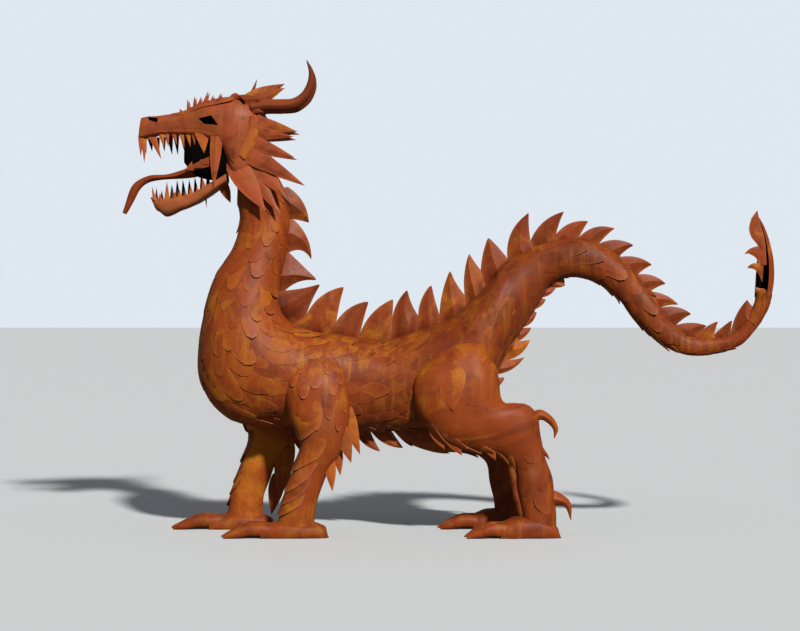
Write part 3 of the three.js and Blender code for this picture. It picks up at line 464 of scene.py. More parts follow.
def plate_on(work, limb, start, end, middle, half, *, squareness, side=1, mirror=1, lift=(0.0, 0.012), round_by=0.42,
             point=2.4, taper=0.12, dome=0.003, skew=0.0, roll=0.0, curl=1.3, dent=None, tone=0.5, rim=1.0,
             grid=(7, 8)):
    """A plate bent to a limb, from its root at start to its tip at end, centred on an angle."""
    u = np.linspace(-1, 1, grid[0])[:, None]
    w = np.linspace(0, 1, grid[1])[None, :]
    reach = 1 - round_by * np.abs(u) ** point
    v = w * reach
    t = start + (end - start) * v
    angle = mirror * (middle + half * u * (1 - taper * w**2) + skew * v)
    out = lift[0] + (lift[1] - lift[0]) * v**curl + dome * (1 - u**2) + roll * u * v
    if dent:
        out = out + dents(skin(limb, t, angle, squareness, 0.0, side), *dent)
    top = skin(limb, t, angle, squareness, out, side)
    under = skin(limb, t, angle, squareness, out - SHEET, side)
    worn = rim * np.clip((np.maximum(w + 0 * u, np.abs(u) * (w > 0.3)) - 0.86) / 0.14, 0, 1)
    work.shell(top, under, tone, worn)


def bare_limb(work, limb, rows, sides, *, squareness, out=0.0, side=1, tone=0.5, dent=(0.16, 0.0), seed=1,
              end=1.0, finish=0):
    """The plain shell of a limb under its plates."""
    t = np.linspace(0, end, rows)[:, None]
    angle = np.linspace(0, 2 * math.pi, sides, endpoint=False)[None, :]
    flat = skin(limb, t, angle, squareness, out, side)
    push = dents(flat, dent[0], dent[1], seed)
    if np.ndim(tone) and len(tone) == rows:
        tone = np.concatenate([np.repeat(tone, sides), [tone[0], tone[-1]]])
    work.tube(skin(limb, t, angle, squareness, out + push, side), tone, finish=finish)


print("sheet thickness", SHEET, "m")

# %% [markdown]
# ## The hide
# The hide is one long limb from nape to tail end. A plain shell closes it, and the scales lie on it in
# staggered rows, tips towards the tail, larger on the chest and smaller along the tail. Each scale gets
# its own seeded turn, length and lift: with none of that it would read as a printed pattern.

# %% Ribs of the trunk and line of the tail
TRUNK_RIBS = [
    [-39.0, 77.5, -44.6, 76.0, 3.2],
    [-34.6, 70.9, -44.5, 70.1, 4.2],
    [-33.4, 65.5, -43.9, 65.9, 4.4],
    [-33.8, 60.0, -45.4, 60.2, 5.1],
    [-35.1, 54.3, -49.3, 53.9, 6.7],
    [-35.7, 49.5, -51.5, 46.5, 8.6],
    [-34.8, 46.1, -52.7, 38.5, 10.1],
    [-32.1, 43.8, -52.0, 30.5, 10.5],
    [-27.5, 42.5, -46.2, 24.0, 10.5],
    [-22.8, 41.9, -34.8, 22.3, 9.9],
    [-18.2, 41.3, -24.9, 21.6, 9.1],
    [-12.7, 40.8, -16.1, 21.5, 8.6],
    [-6.4, 42.7, -7.7, 21.7, 8.6],
    [-0.5, 45.1, 1.4, 22.9, 8.8],
    [4.5, 49.1, 8.5, 29.7, 8.4],
    [8.9, 53.3, 12.3, 38.1, 6.9],
]
TAIL_LINE = [
    [14.8, 52.1, 5.8],
    [19.7, 56.4, 4.4],
    [24.9, 57.9, 4.2],
    [29.8, 57.4, 4.0],
    [34.4, 55.1, 3.6],
    [38.3, 51.2, 3.2],
    [41.5, 47.2, 3.3],
    [45.3, 42.7, 2.65],
    [50.1, 39.7, 2.1],
    [55.6, 39.4, 1.6],
    [60.8, 40.8, 1.35],
    [64.1, 44.5, 1.4],
    [66.0, 48.0, 1.6],
    [66.6, 50.8, 1.7],
]
TAIL_WIDTH = 0.8
HIDE_SQUARENESS = 0.92
SPINE_STRIP = math.pi / 7

hide = limb_of([*TRUNK_RIBS, *ribs_along(TAIL_LINE, TAIL_WIDTH).tolist()])
fine_t = np.linspace(0, 1, 2001)
course = rail((hide["edge"] + hide["other"]) / 2, fine_t)
run = np.concatenate([[0], np.cumsum(np.linalg.norm(np.diff(course, axis=0), axis=1))])


def girth(t):
    ring = skin(hide, t, np.linspace(0, 2 * math.pi, 49), HIDE_SQUARENESS)
    return float(np.linalg.norm(np.diff(ring, axis=0), axis=1).sum())


print("nape to tail end", round(float(run[-1]), 2), "m; girth at the chest", round(girth(0.25), 2), "m")

# %% Rows of scales
SCALE_WIDTH = (
    [0, 0.15, 0.25, 0.34, 0.45, 0.52, 0.60, 0.75, 1],
    [0.085, 0.10, 0.105, 0.085, 0.095, 0.125, 0.11, 0.085, 0.055],
)
HIDE_DENT = (0.24, 0.0045, 3)
FLUSH_SHARE = 0.74
SCALE_TONE = ([0, 0.12, 0.28, 0.40, 0.60, 0.85, 1], [0.52, 0.60, 0.42, 0.18, 0.12, 0.24, 0.35])

rng = np.random.default_rng(7)
trunk = Sheetwork()
bare_limb(trunk, hide, 150, 44, squareness=HIDE_SQUARENESS, out=-SHEET, tone=0.35,
          dent=HIDE_DENT[:2], seed=HIDE_DENT[2])
distance, row, scales = -0.03, 0, 0
while distance < run[-1] - 0.05:
    here = float(np.interp(max(distance, 0), run, fine_t))
    width = float(np.interp(here, *SCALE_WIDTH))
    around = girth(here)
    pitch = 0.98 * width
    count = max(6, round(around / width))
    for k in range(count):
        middle = 2 * math.pi * (k + 0.5 * (row % 2) + rng.uniform(-0.2, 0.2)) / count
        from_spine = min(middle % (2 * math.pi), 2 * math.pi - middle % (2 * math.pi))
        calm = min(from_spine / SPINE_STRIP, 1.0) ** 2
        start = distance + rng.uniform(-0.2, 0.2) * pitch
        end = min(start + pitch * rng.uniform(1.45, 2.1), run[-1])
        span = np.interp([max(start, 0.0), end], run, fine_t)
        flush = rng.random() < FLUSH_SHARE
        tip_lift = rng.uniform(-0.001, 0.002) if flush else rng.uniform(0.006, 0.014)
        tone = float(np.clip(np.interp(here, *SCALE_TONE) + rng.uniform(-0.15, 0.15), 0, 1))
        plate_on(
            trunk, hide, span[0], span[1], middle, math.pi / count * rng.uniform(0.92, 1.3),
            squareness=HIDE_SQUARENESS, lift=(-0.003, 0.001 + calm * tip_lift), round_by=rng.uniform(0.35, 0.6),
            point=rng.uniform(1.9, 2.8), dome=0.001 * calm, skew=rng.uniform(-1.4, 1.4) / count,
            roll=rng.uniform(-0.002, 0.002) * calm, curl=1.2 if flush else 2.6, dent=HIDE_DENT, tone=tone,
            rim=0.15 if flush else 0.6, grid=(6, 7),
        )
        scales += 1
    distance += pitch
    row += 1
trunk.piece("scaled_hide", "hide_patina", "scaled_trunk")
print(scales, "scales in", row, "rows")

# %% [markdown]
# ## Folded plates
# Fins, mane, feathers and claws are cut from flat sheet and folded along a ridge, which makes a thin plate
# stiff and gives it a lit half and a shaded half. One function builds them all from three lines: the
# head-side edge, the ridge and the tail-side edge. Concave flanks beside the ridge keep the fold crisp.

# %% Folded plate
ACROSS = np.array([0.0, 0.22, 0.5, 0.78, 1.0])
FLANK = np.array([0.0, 0.34, 1.0, 0.34, 0.0])


def folded(work, first_edge, second_edge, face, ridge, tip, *, ridge_at=0.5, tone=0.5, rim=0.7, painted_row_shade=0.0, back=0.0):
    """A closed plate between two edges, given as rows of points, with its ridge heights.

    The values per row give how much painted shade darkens each row, and back how much painted shade darkens the plate's
    back.
    """
    share = np.where(ACROSS <= 0.5, ACROSS * 2 * ridge_at, ridge_at + (ACROSS - 0.5) * 2 * (1 - ridge_at))
    rows = first_edge[:, None] + (second_edge - first_edge)[:, None] * share[None, :, None]
    lift = ridge[:, None] * FLANK[None, :] + SHEET / 2
    upper = rows + face * lift[..., None]
    lower = (rows - face * lift[..., None])[:, ::-1]
    rings = np.concatenate([upper, lower], axis=1)
    edge = np.array([rim, 0, 0.35 * rim, 0, rim])
    back_edge = -back * np.ones(len(edge)) if back else edge[::-1]
    worn = np.tile(np.concatenate([edge, back_edge]), (len(rings), 1)) - np.reshape(painted_row_shade, (-1, 1))
    work.tube(rings, tone, tip=tip, rim=np.concatenate([worn.ravel(), [0, rim]]))


def leaf(work, root, tip, across, width, fold, *, root_share=0.85, rows=14, tone=0.5, belly=0.8, back=0.0):
    """A folded leaf, narrowing to its tip."""
    along = tip - root
    across = across / np.linalg.norm(across)
    face = np.cross(along, across)
    face /= np.linalg.norm(face)
    u = (np.arange(rows) / rows)[:, None]
    half = 0.5 * width * (root_share * (1 - u) + (1 - root_share) * np.sin(math.pi * u**belly))
    centre = root + along * u
    ridge = fold * (1 - u[:, 0]) ** 0.6
    folded(work, centre + across * half, centre - across * half, face, ridge, tip, tone=tone, back=back)


print("folded plate has", len(ACROSS) * 2, "points a row")

# %% [markdown]
# ## The crest
# Twenty-five fins stand in a row on the spine. On the neck they sweep back flat, on the back they rise
# nearly upright, and along the tail they lean back again and shrink. Each is given by its two base corners
# and its tip; the edge to the head bulges and the edge to the tail is a little hollow, as on a shark's fin.
# Their feet are welded into the hide, and that crease is darkened with painted shade.

# %% A fin
FIN_FOOT = 0.055
FIN_ROWS = np.concatenate([np.linspace(0, 0.9, 13), [0.94, 0.97, 0.985, 0.995]])
BLUNT = 0.005


def foot_of(corner, outward_side):
    """The foot below a fin's corner: square to the hide, a little way in past its edge."""
    line, far_line = (hide["edge"], hide["other"])[::outward_side]
    gaps = np.linalg.norm(rail(line, fine_t) - corner[[0, 2]], axis=1)
    nearest = fine_t[np.argmin(gaps)]
    inward = rail(far_line, nearest) - rail(line, nearest)
    inward *= (gaps.min() + FIN_FOOT) / np.linalg.norm(inward)
    return corner + np.array([inward[0], 0, inward[1]])


def fin(work, start, end, tip, bulge, hollow, outward_side, fold, *, tone=0.5, ridge_at=0.5):
    """A fin on the line of the back or belly, with a rounded tip."""
    base = end - start
    length = np.linalg.norm(base)
    u = FIN_ROWS[:, None]
    round_off = BLUNT * u * np.minimum(1, (1 - u) / 0.06) ** 0.5
    edges = []
    for corner, bow, way in ((start, bulge, -1), (end, hollow, 1)):
        chord = tip - corner
        aside = np.array([-chord[2], 0, chord[0]]) * outward_side
        edge = corner + chord * u + aside * 4 * bow * u * (1 - u) + way * base / length * round_off
        edges.append(np.vstack([foot_of(corner, outward_side), edge]))
    height = length * fold * (1 - FIN_ROWS) ** 0.7
    # The foot row, sunk in the hide, is darkened: painted shade in the crease where the fin meets the hide.
    painted_foot_shade = np.append(1.0, np.zeros(len(FIN_ROWS)))
    folded(work, *edges, np.array([0.0, 1.0, 0.0]), np.concatenate([height[:1], height]), tip,
           ridge_at=ridge_at, tone=tone, painted_row_shade=painted_foot_shade)


def row_of_fins(name, rows, outward_side, fold, tones, rng):
    for i, (x1, z1, x2, z2, tip_x, tip_z, bulge, hollow) in enumerate(rows):
        work = Sheetwork()
        fin(work, at(x1, z1), at(x2, z2), at(tip_x, tip_z), bulge, hollow, outward_side, fold,
            tone=float(rng.uniform(*tones)), ridge_at=float(rng.uniform(0.42, 0.62)))
        work.piece(f"{name}_fin_{i + 1:02d}", "plate_patina", f"{name}_plate_{i + 1:02d}", crease=22)


# %% The crest, from the mane to the tail's end
CREST_FINS = [
    [-33.8, 73.0, -29.4, 65.6, 0.12, 0.02],
    [-32.7, 66.2, -28.9, 57.8, 0.11, 0.25],
    [-33.6, 59.2, -27.9, 53.5, 0, 0.12],
    [-34.4, 51.2, -27.2, 52.4, -0.03, 0.03],
    [-29.9, 46.2, -22.2, 51.9, 0.12, 0.02],
    [-23.6, 44.7, -17.0, 48.8, 0.11, 0.01],
    [-18.6, 42.3, -11.8, 49.3, 0.1, 0],
    [-11.9, 43.0, -8.8, 51.2, 0.11, 0.05],
    [-6.4, 45.9, -3.7, 52.2, 0.09, 0.02],
    [-1.9, 46.2, 0.3, 55.2, 0.045, 0.05],
    [3.4, 50.3, 4.3, 58.8, 0.055, 0.02],
    [6.8, 55.5, 8.4, 62.2, 0.04, -0.02],
    [12.4, 58.0, 16.8, 67.5, 0.14, 0.03],
    [17.3, 61.7, 24.2, 67.8, 0.12, 0.03],
    [22.7, 63.1, 29.3, 65.8, 0.13, 0.02],
    [27.6, 62.5, 34.9, 64.3, 0.15, 0.04],
    [31.8, 61.1, 38.9, 60.8, 0.12, 0.05],
    [35.9, 58.2, 42.8, 56.7, 0.11, 0.05],
    [40.0, 54.6, 45.7, 52.7, 0.11, 0.05],
    [42.6, 51.0, 48.4, 48.3, 0.09, 0.07],
    [44.8, 47.5, 51.1, 46.3, 0.12, 0.05],
    [48.1, 43.9, 54.3, 43.8, 0.08, 0],
    [52.5, 41.8, 56.7, 44.6, 0.06, 0.03],
    [56.1, 41.9, 59.7, 44.8, 0.02, 0.02],
    [59.6, 42.1, 62.9, 49.1, 0.08, 0.04],
]
CREST_END = [64.6, 47.4]

rng = np.random.default_rng(11)
ends = [row[:2] for row in CREST_FINS[1:]] + [CREST_END]
crest = [[*row[:2], *end, *row[2:]] for row, end in zip(CREST_FINS, ends)]
row_of_fins("crest", crest, 1, 0.16, (0.05, 0.6), rng)

# %% Fins under the tail root and the belly
UNDER_TAIL_FINS = [
    [10.2, 30.6, 9.6, 32.7, 11.8, 32.7, 0.05, 0],
    [9.4, 33.4, 12.7, 36.5, 16.0, 37.0, 0.12, 0.03],
    [12.7, 36.5, 14.8, 40.5, 17.2, 40.6, 0.12, 0],
    [14.8, 40.5, 15.4, 43.3, 17.4, 43.2, 0.08, 0],
    [15.4, 43.3, 17.2, 47.0, 18.6, 46.3, 0.14, -0.1],
    [17.2, 47.1, 19.0, 49.7, 20.5, 49.1, 0.14, -0.05],
    [19.0, 49.7, 21.4, 52.1, 22.6, 51.6, 0.14, -0.05],
    [21.4, 52.1, 24.5, 53.1, 24.4, 52.1, 0.1, 0],
]
BELLY_FINS = [
    [-19.9, 21.6, -16.5, 21.6, -14.5, 17.2, 0.12, 0.03],
    [-16.5, 21.6, -12.1, 21.6, -9.7, 17.9, 0.12, 0],
    [-11.5, 21.4, -7.9, 22.2, -6.0, 19.5, 0.12, 0],
]
row_of_fins("under_tail", UNDER_TAIL_FINS, -1, 0.12, (0.6, 0.95), rng)
row_of_fins("belly", BELLY_FINS, -1, 0.12, (0.3, 0.6), rng)

# %% [markdown]
# ## Legs and feet
# A leg is a shell with cuffs: sheets wrapped round the shin, each with its lower edge standing off the
# next. The thigh is one smooth dome, as a plate hammered over a form is, with one teardrop plate on it.
# Leaves hang from its lower edge. All of it is a limb again, so the plates follow the pose of each leg.

# %% Ribs and pose of the legs
FRONT_LEG_RIBS = [
    [-31.0, 40.2, -24.5, 40.4, 1.0, 4.6],
    [-33.4, 37.0, -22.2, 36.6, 2.6, 6.6],
    [-34.4, 32.6, -21.2, 31.6, 3.8, 8.0],
    [-33.6, 26.3, -20.7, 25.5, 4.0, 8.4],
    [-30.9, 19.9, -22.0, 18.9, 3.6, 8.0],
    [-32.2, 14.6, -24.8, 14.4, 3.2, 7.8],
    [-34.0, 9.1, -26.8, 9.3, 2.9, 7.8],
    [-35.2, 4.8, -27.9, 4.6, 2.9, 7.8],
    [-36.0, 0.8, -27.9, 0.8, 2.9, 7.8],
]
HIND_LEG_RIBS = [
    [-2.0, 39.2, 3.6, 41.6, 1.2, 5.8],
    [-6.0, 35.2, 7.0, 40.0, 3.4, 7.4],
    [-7.5, 30.5, 9.3, 36.2, 4.4, 8.4],
    [-6.0, 24.8, 10.4, 32.2, 4.6, 8.8],
    [-2.0, 20.4, 11.6, 28.2, 4.3, 8.6],
    [3.7, 18.2, 15.8, 27.7, 3.8, 8.4],
    [9.8, 17.2, 18.4, 25.3, 3.4, 8.2],
    [13.4, 14.6, 19.0, 20.9, 3.1, 8.0],
    [14.2, 10.2, 20.6, 15.0, 2.8, 8.0],
    [14.9, 6.3, 21.7, 9.6, 2.7, 8.0],
    [15.6, 0.8, 22.4, 0.8, 2.7, 8.0],
]
FRONT_STRIDE = -11.9
HIND_STRIDE = -5.2
HIND_CROUCH = 2.2
LEG_SQUARENESS = 0.9


def pose_ribs(ribs, stride, settle, crouch):
    top = ribs[0][1]

    def swing(z):
        x = min(max((top - z) / (top * settle), 0), 1)
        return stride * x * x * (3 - 2 * x)

    posed = []
    for i, (x1, z1, x2, z2, half, y) in enumerate(ribs):
        sag = crouch * math.sin(math.pi * min(1, 1.4 * i / (len(ribs) - 1)))
        posed.append([x1 + swing(z1) - 0.6 * sag, z1 - sag, x2 + swing(z2), z2, half, y])
    return posed


def leaves(work, rows, stride, side, fold, rng, **shape):
    for x1, z1, x2, z2, width, y in rows:
        across = at(z1 - z2, x2 - x1)
        leaf(work, at(x1 + stride, z1, side * y), at(x2 + stride, z2, side * y), across, width * SHARE, fold,
             root_share=0.55, tone=float(rng.uniform(0.4, 0.9)), **shape)


# %% Feet
TOE_PROFILE = [[0, 1.4, 1.4], [0.45, 1.7, 1.3], [0.8, 0.8, 0.8], [1, 0.2, 0.15]]
TOES = 3


def on_floor(work, since=0):
    """Presses what lies below the floor flat on it."""
    for block in work.points[since:]:
        block[:, 2] = np.maximum(block[:, 2], 0.0)


def foot(work, heel, length, height, y, side, seed):
    since = len(work.points)
    body = 0.62 * length
    ribs = [
        [heel, 0.9, heel + 0.4, -1, 1.3, y],
        [heel - 0.7, 2.4, heel - 0.4, -1, 2.3, y],
        [heel - 0.3 * body, height, heel - 0.3 * body, -1, 3.0, y],
        [heel - 0.75 * body, height, heel - 0.75 * body, -1, 3.3, y],
        [heel - body, height * 0.72, heel - body, -1, 3.1, y],
    ]
    bare_limb(work, limb_of(ribs), 22, 24, squareness=0.8, side=side, tone=0.3, dent=(0.09, 0.0025), seed=seed)
    toe_length = length - 0.8 * body
    for toe in range(TOES):
        outward = toe - (TOES - 1) / 2
        ribs = []
        for u, middle, half in TOE_PROFILE:
            x = heel - 0.8 * body - u * toe_length * (1 - 0.05 * abs(outward))
            ribs.append([x, middle + half, x, middle - half, half * 0.72, y + outward * (2.0 + u * 0.96)])
        bare_limb(work, limb_of(ribs), 20, 14, squareness=1.0, side=side, tone=0.2 + 0.12 * toe,
                  dent=(0.05, 0.0015), seed=seed + toe)
    on_floor(work, since)


# %% Front legs
ELBOW_PLATES = [
    [-24.9, 17.0, -24.2, 9.6, 2.9, 9.2],
    [-23.4, 19.4, -22.6, 12.8, 2.7, 8.2],
    [-22.8, 23.6, -20.3, 15.6, 4.0, 9.6],
    [-22.6, 28.6, -18.5, 17.2, 4.6, 8.2],
]
CALF_PLATES = [
    [-23.4, 17.4, -24.8, 6.4, 5.0, 7.0],
    [-25.0, 11.6, -26.6, 2.8, 4.2, 8.2],
]
CUFF_ENDS = [0.49, 0.64, 0.74, 0.81, 0.88]
CUFF_LENGTH = 0.17
SHOULDER_PLATES = 14


def front_leg(name, side, stride, seed):
    rng = np.random.default_rng(seed)
    limb = limb_of(pose_ribs(FRONT_LEG_RIBS, stride, 0.4, 0.0))
    work = Sheetwork()
    # The far front leg gets a lighter tone than the near one: painted light where the body shades it.
    bare_limb(work, limb, 60, 36, squareness=LEG_SQUARENESS, side=side, tone=0.9 if stride else 0.5,
              dent=(0.14, 0.003), seed=seed)
    place = dict(squareness=LEG_SQUARENESS, side=side, mirror=side)
    for end in CUFF_ENDS:
        plate_on(work, limb, end - CUFF_LENGTH, end, 0.45, 1.3, **place, lift=(-0.001, 0.015),
                 round_by=0.40, point=1.8, dome=0.0, tone=float(rng.uniform(0.3, 0.8)), grid=(19, 7))
    for k in range(SHOULDER_PLATES):
        middle = 0.6 + 2.2 * ((k * 0.618) % 1) + rng.uniform(-0.1, 0.1)
        start = 0.06 + 0.32 * k / SHOULDER_PLATES
        plate_on(work, limb, start, start + rng.uniform(0.09, 0.13), middle, 0.24, **place,
                 lift=(-0.003, rng.uniform(0.002, 0.007)), round_by=0.5, tone=float(rng.uniform(0.4, 0.65)),
                 skew=rng.uniform(-0.1, 0.1))
    foot(work, -25.4 + stride, 22.0, 3.3, FRONT_LEG_RIBS[-1][5], side, seed)
    leaves(work, ELBOW_PLATES, stride * 0.9, side, 0.008, rng)
    if stride:
        leaves(work, CALF_PLATES, stride * 0.95, side, 0.008, rng)
    work.piece(f"{name}_sheetwork", "leg_patina", name)


front_leg("front_leg_left", -1, 0.0, 21)
front_leg("front_leg_right", 1, FRONT_STRIDE, 22)

# %% Hind legs
THIGH_PLATES = [
    [-3.6, 23.6, -1.0, 18.4, 3.2, 9.6],
    [-0.2, 21.6, 2.6, 17.2, 3.2, 10.2],
    [4.1, 21.5, 6.3, 17.1, 3.1, 9.3],
    [7.2, 20.8, 9.6, 16.2, 3.0, 10.0],
    [10.4, 20.0, 12.6, 16.0, 3.0, 9.2],
    [10.8, 26.9, 16.8, 27.4, 2.4, 8.6],
]
SPUR_LINES = [
    [[16.7, 24.4, 1.3], [18.9, 25.5, 1.1], [20.9, 24.4, 0.8], [22.1, 22.5, 0.55], [21.8, 20.6, 0.08]],
    [[18.0, 19.2, 0.9], [20.0, 17.3, 0.4], [20.8, 16.2, 0.06]],
    [[19.7, 8.3, 1.8], [22.2, 8.0, 1.5], [24.6, 6.8, 0.75], [25.3, 3.6, 0.08]],
]
SPUR_OFFSET = 8.1
THIGH_FEATHERS = 6
SHANK_ENDS = [0.76, 0.86, 0.95]


def drop_on(work, limb, start, end, middle, half, *, side, skew, lift, tone):
    """A plate in the shape of a drop, round at both ends and widest past its middle."""
    u = np.linspace(-1, 1, 13)[:, None]
    w = np.linspace(0.0, 1.0, 19)[None, :]
    reach = half * np.maximum(np.sin(math.pi * w**0.75), 0.0) ** 0.8
    angle = side * (middle + skew * w + reach * u)
    t = start + (end - start) * w + 0 * u
    out = lift * np.minimum(1, 3 * w) * (0.55 + 0.45 * (1 - u**2))
    top = skin(limb, t, angle, LEG_SQUARENESS, out, side)
    under = skin(limb, t, angle, LEG_SQUARENESS, out - SHEET * 2, side)
    work.shell(top, under, tone, np.where(np.abs(u) > 0.9, 0.8, 0.0) + 0 * w)


def hind_leg(name, side, stride, crouch, seed):
    rng = np.random.default_rng(seed)
    limb = limb_of(pose_ribs(HIND_LEG_RIBS, stride, 0.35, crouch))
    work = Sheetwork()
    tone = np.interp(np.linspace(0, 1, 80), [0, 0.4, 0.7, 1], [0.5, 0.5, 0.2, 0.25])
    bare_limb(work, limb, 80, 44, squareness=LEG_SQUARENESS, side=side, tone=tone, dent=(0.16, 0.004), seed=seed)
    drop_on(work, limb, 0.15, 0.32, 1.62, 0.27, side=side, skew=-0.25, lift=0.007, tone=0.7)
    place = dict(squareness=LEG_SQUARENESS, side=side, mirror=side)
    for k, end in enumerate(SHANK_ENDS):
        plate_on(work, limb, end - 0.13, end, 2.0 - 0.9 * (k % 2), 0.7, **place,
                 lift=(-0.003, 0.004), round_by=0.3, point=2.0, dome=0.0, tone=0.2, rim=0.3, grid=(13, 7))
    for k in range(THIGH_FEATHERS):
        start = 0.30 + 0.055 * k
        plate_on(work, limb, start, start + rng.uniform(0.12, 0.15), 0.30 + 0.28 * (k % 2), 0.42, **place,
                 lift=(-0.003, rng.uniform(0.016, 0.026)), round_by=0.75, point=1.3, dome=0.0, curl=1.8,
                 tone=0.75, grid=(11, 9))
    foot(work, 22.9 + stride, 19.8, 4.2, HIND_LEG_RIBS[-1][5], side, seed)
    leaves(work, THIGH_PLATES, stride, side, 0.008, rng)
    for line in SPUR_LINES:
        moved = [[x + stride, z, half] for x, z, half in line]
        spur = limb_of(ribs_along(moved, 0.75, SPUR_OFFSET))
        bare_limb(work, spur, 18, 8, squareness=1.25, side=side, tone=0.45)
    work.piece(f"{name}_sheetwork", "leg_patina", name)


hind_leg("hind_leg_left", -1, 0.0, 0.0, 31)
hind_leg("hind_leg_right", 1, HIND_STRIDE, HIND_CROUCH, 32)

# %% [markdown]
# ## The head
# The skull is bent up from boxy sheets, so its oval is squared. The eye is a slanted hole whose walls are painted
# near black, painted shade for the dark of the hollow head behind it. A boolean cuts it, because the sheet round
# it has to stay smooth and its edge crisp. Teeth, thorns and cheek plates are welded on afterwards.

# %% Ribs of the head
SKULL_RIBS = [
    [-64.6, 87.5, -65.2, 82.9, 1.9],
    [-62.8, 87.8, -63.4, 83.2, 2.5],
    [-59.7, 88.1, -59.7, 83.8, 2.7],
    [-55.7, 88.8, -55.1, 83.6, 3.2],
    [-52.3, 90.3, -51.3, 83.0, 4.0],
    [-48.1, 91.4, -47.7, 80.6, 4.8],
    [-43.9, 91.8, -45.6, 75.2, 5.0],
    [-40.1, 90.1, -43.3, 72.2, 4.2],
    [-37.2, 85.9, -39.3, 73.3, 2.9],
]
GULLET_RIBS = [
    [-55.3, 84.4, -55.6, 78.0, 2.0],
    [-53.0, 84.4, -53.4, 75.4, 2.8],
    [-50.0, 84.4, -50.0, 74.4, 3.2],
    [-46.5, 84.0, -46.5, 74.2, 3.4],
]
JAW_RIBS = [
    [-62.9, 71.2, -61.5, 68.1, 1.0],
    [-62.2, 70.8, -60.7, 67.6, 1.6],
    [-59.7, 70.9, -59.1, 66.7, 2.3],
    [-56.5, 71.4, -56.1, 68.0, 2.7],
    [-53.4, 72.2, -52.9, 69.3, 3.2],
    [-50.2, 73.9, -49.6, 71.4, 3.6],
    [-46.6, 76.0, -46.4, 73.7, 3.6],
]
SKULL_SQUARENESS = 0.72
skull_limb = limb_of(SKULL_RIBS)
jaw_limb = limb_of(JAW_RIBS)


def spike(work, root, tip, radius, *, sides=5, tone=0.5):
    """A thorn, drawn out to a point."""
    along = (tip - root) / np.linalg.norm(tip - root)
    across = np.array([-along[2], 0, along[0]])
    across /= np.linalg.norm(across)
    sideways = np.cross(along, across)
    rings = []
    for u in (0.0, 0.3, 0.6, 0.85):
        angle = np.linspace(0, 2 * math.pi, sides, endpoint=False)[:, None]
        ring = across * np.cos(angle) + sideways * 0.6 * np.sin(angle)
        rings.append(root + (tip - root) * u + ring * radius * (1 - u**1.2))
    work.tube(np.array(rings), tone, tip=tip, rim=0.3)


# Root x and z, tip x and z, width, of the teeth on the near side and on the far side.
UPPER_TEETH = {
    -1: [
        [-64.5, 83.4, -64.7, 79.4, 1.5],
        [-63.9, 83.0, -63.9, 77.9, 1.3],
        [-62.1, 83.4, -60.3, 78.7, 1.8],
        [-60.3, 84.0, -59.7, 81.0, 1.2],
        [-59.1, 84.1, -58.8, 81.3, 1.1],
        [-57.7, 84.3, -57.0, 81.7, 1.2],
        [-56.1, 84.4, -55.4, 81.0, 1.3],
        [-54.7, 84.3, -54.1, 81.2, 1.2],
        [-53.5, 84.2, -53.2, 81.6, 1.0],
    ],
    1: [
        [-64.3, 83.0, -63.8, 80.1, 1.2],
        [-63.0, 83.2, -62.6, 80.5, 1.2],
        [-61.6, 83.5, -61.1, 80.9, 1.2],
        [-60.3, 83.7, -60.0, 80.5, 1.3],
        [-58.9, 83.9, -58.4, 79.7, 1.4],
        [-57.6, 84.1, -57.2, 79.7, 1.4],
        [-56.2, 84.2, -55.8, 80.4, 1.3],
        [-54.9, 84.2, -54.4, 80.2, 1.3],
        [-53.5, 84.0, -53.0, 80.6, 1.3],
    ],
}
LOWER_TEETH = {
    -1: [
        [-61.7, 70.2, -62.3, 73.0, 1.0],
        [-60.5, 69.2, -60.6, 71.8, 1.3],
        [-59.1, 69.4, -59.1, 74.1, 1.5],
        [-57.7, 69.5, -57.4, 72.1, 1.3],
        [-56.4, 69.8, -56.4, 72.4, 1.3],
        [-55.1, 70.1, -55.2, 72.2, 1.2],
        [-53.8, 70.4, -54.1, 73.2, 1.5],
        [-52.4, 70.9, -52.8, 73.2, 1.3],
        [-51.0, 71.6, -51.6, 74.9, 1.5],
    ],
    1: [
        [-61.6, 68.7, -61.7, 73.0, 1.15],
        [-60.5, 69.1, -60.6, 72.4, 1.15],
        [-58.4, 69.4, -58.5, 73.6, 1.49],
        [-57.2, 69.6, -57.4, 74.6, 1.49],
        [-55.9, 69.9, -56.2, 74.7, 1.49],
        [-54.6, 70.2, -54.9, 74.7, 1.49],
        [-53.3, 70.6, -53.7, 75.3, 1.49],
        [-52, 71.1, -52.4, 75.9, 1.49],
        [-50.7, 71.7, -51.1, 76.5, 1.49],
    ],
}


def teeth(work, limb, rows, away, rng):
    """Flat teeth cut as leaves, set just inside the rim of a limb. Their backs are darkened with painted shade, as the
    throat is.
    """
    for side, row in rows.items():
        for x1, z1, x2, z2, width in row:
            place = np.argmin(np.abs(rail(limb["edge"], fine_t)[:, 0] - x1 * SHARE))
            y = side * away * rail(limb["breadth"], fine_t[place])[0] / SHARE
            outward = np.array([side * np.sign(z2 - z1), 0, 0])
            leaf(work, at(x1, z1, y), at(x2, z2, y * 0.97), outward, width * SHARE, 0.004,
                 root_share=0.95, rows=7, tone=float(rng.uniform(0.45, 0.95)), back=0.9)


# %% Skull
BROW_THORNS = [
    [-55.9, 87.9, -56.4, 89.4],
    [-54.4, 88.0, -54.8, 91.4],
    [-53.2, 88.9, -53.3, 92.0],
    [-52.5, 89.2, -51.9, 91.9],
    [-51.4, 89.6, -50.4, 93.1],
    [-49.8, 90.0, -49.4, 92.2],
    [-48.5, 90.2, -47.7, 92.7],
]
EYE_MIDDLE = (-50.2, 86.9)
EYE_LENGTH = 0.118
EYE_HEIGHT = 0.058
EYE_OUTLINE = [(-0.5, 0.14), (-0.22, -0.42), (0.5, -0.58), (0.14, 0.42)]
NOSTRIL_MIDDLE = (-62.0, 87.2)
NOSTRIL_OUTLINE = [(-0.034, 0.012), (-0.022, -0.008), (0.026, -0.022), (0.030, 0.004)]


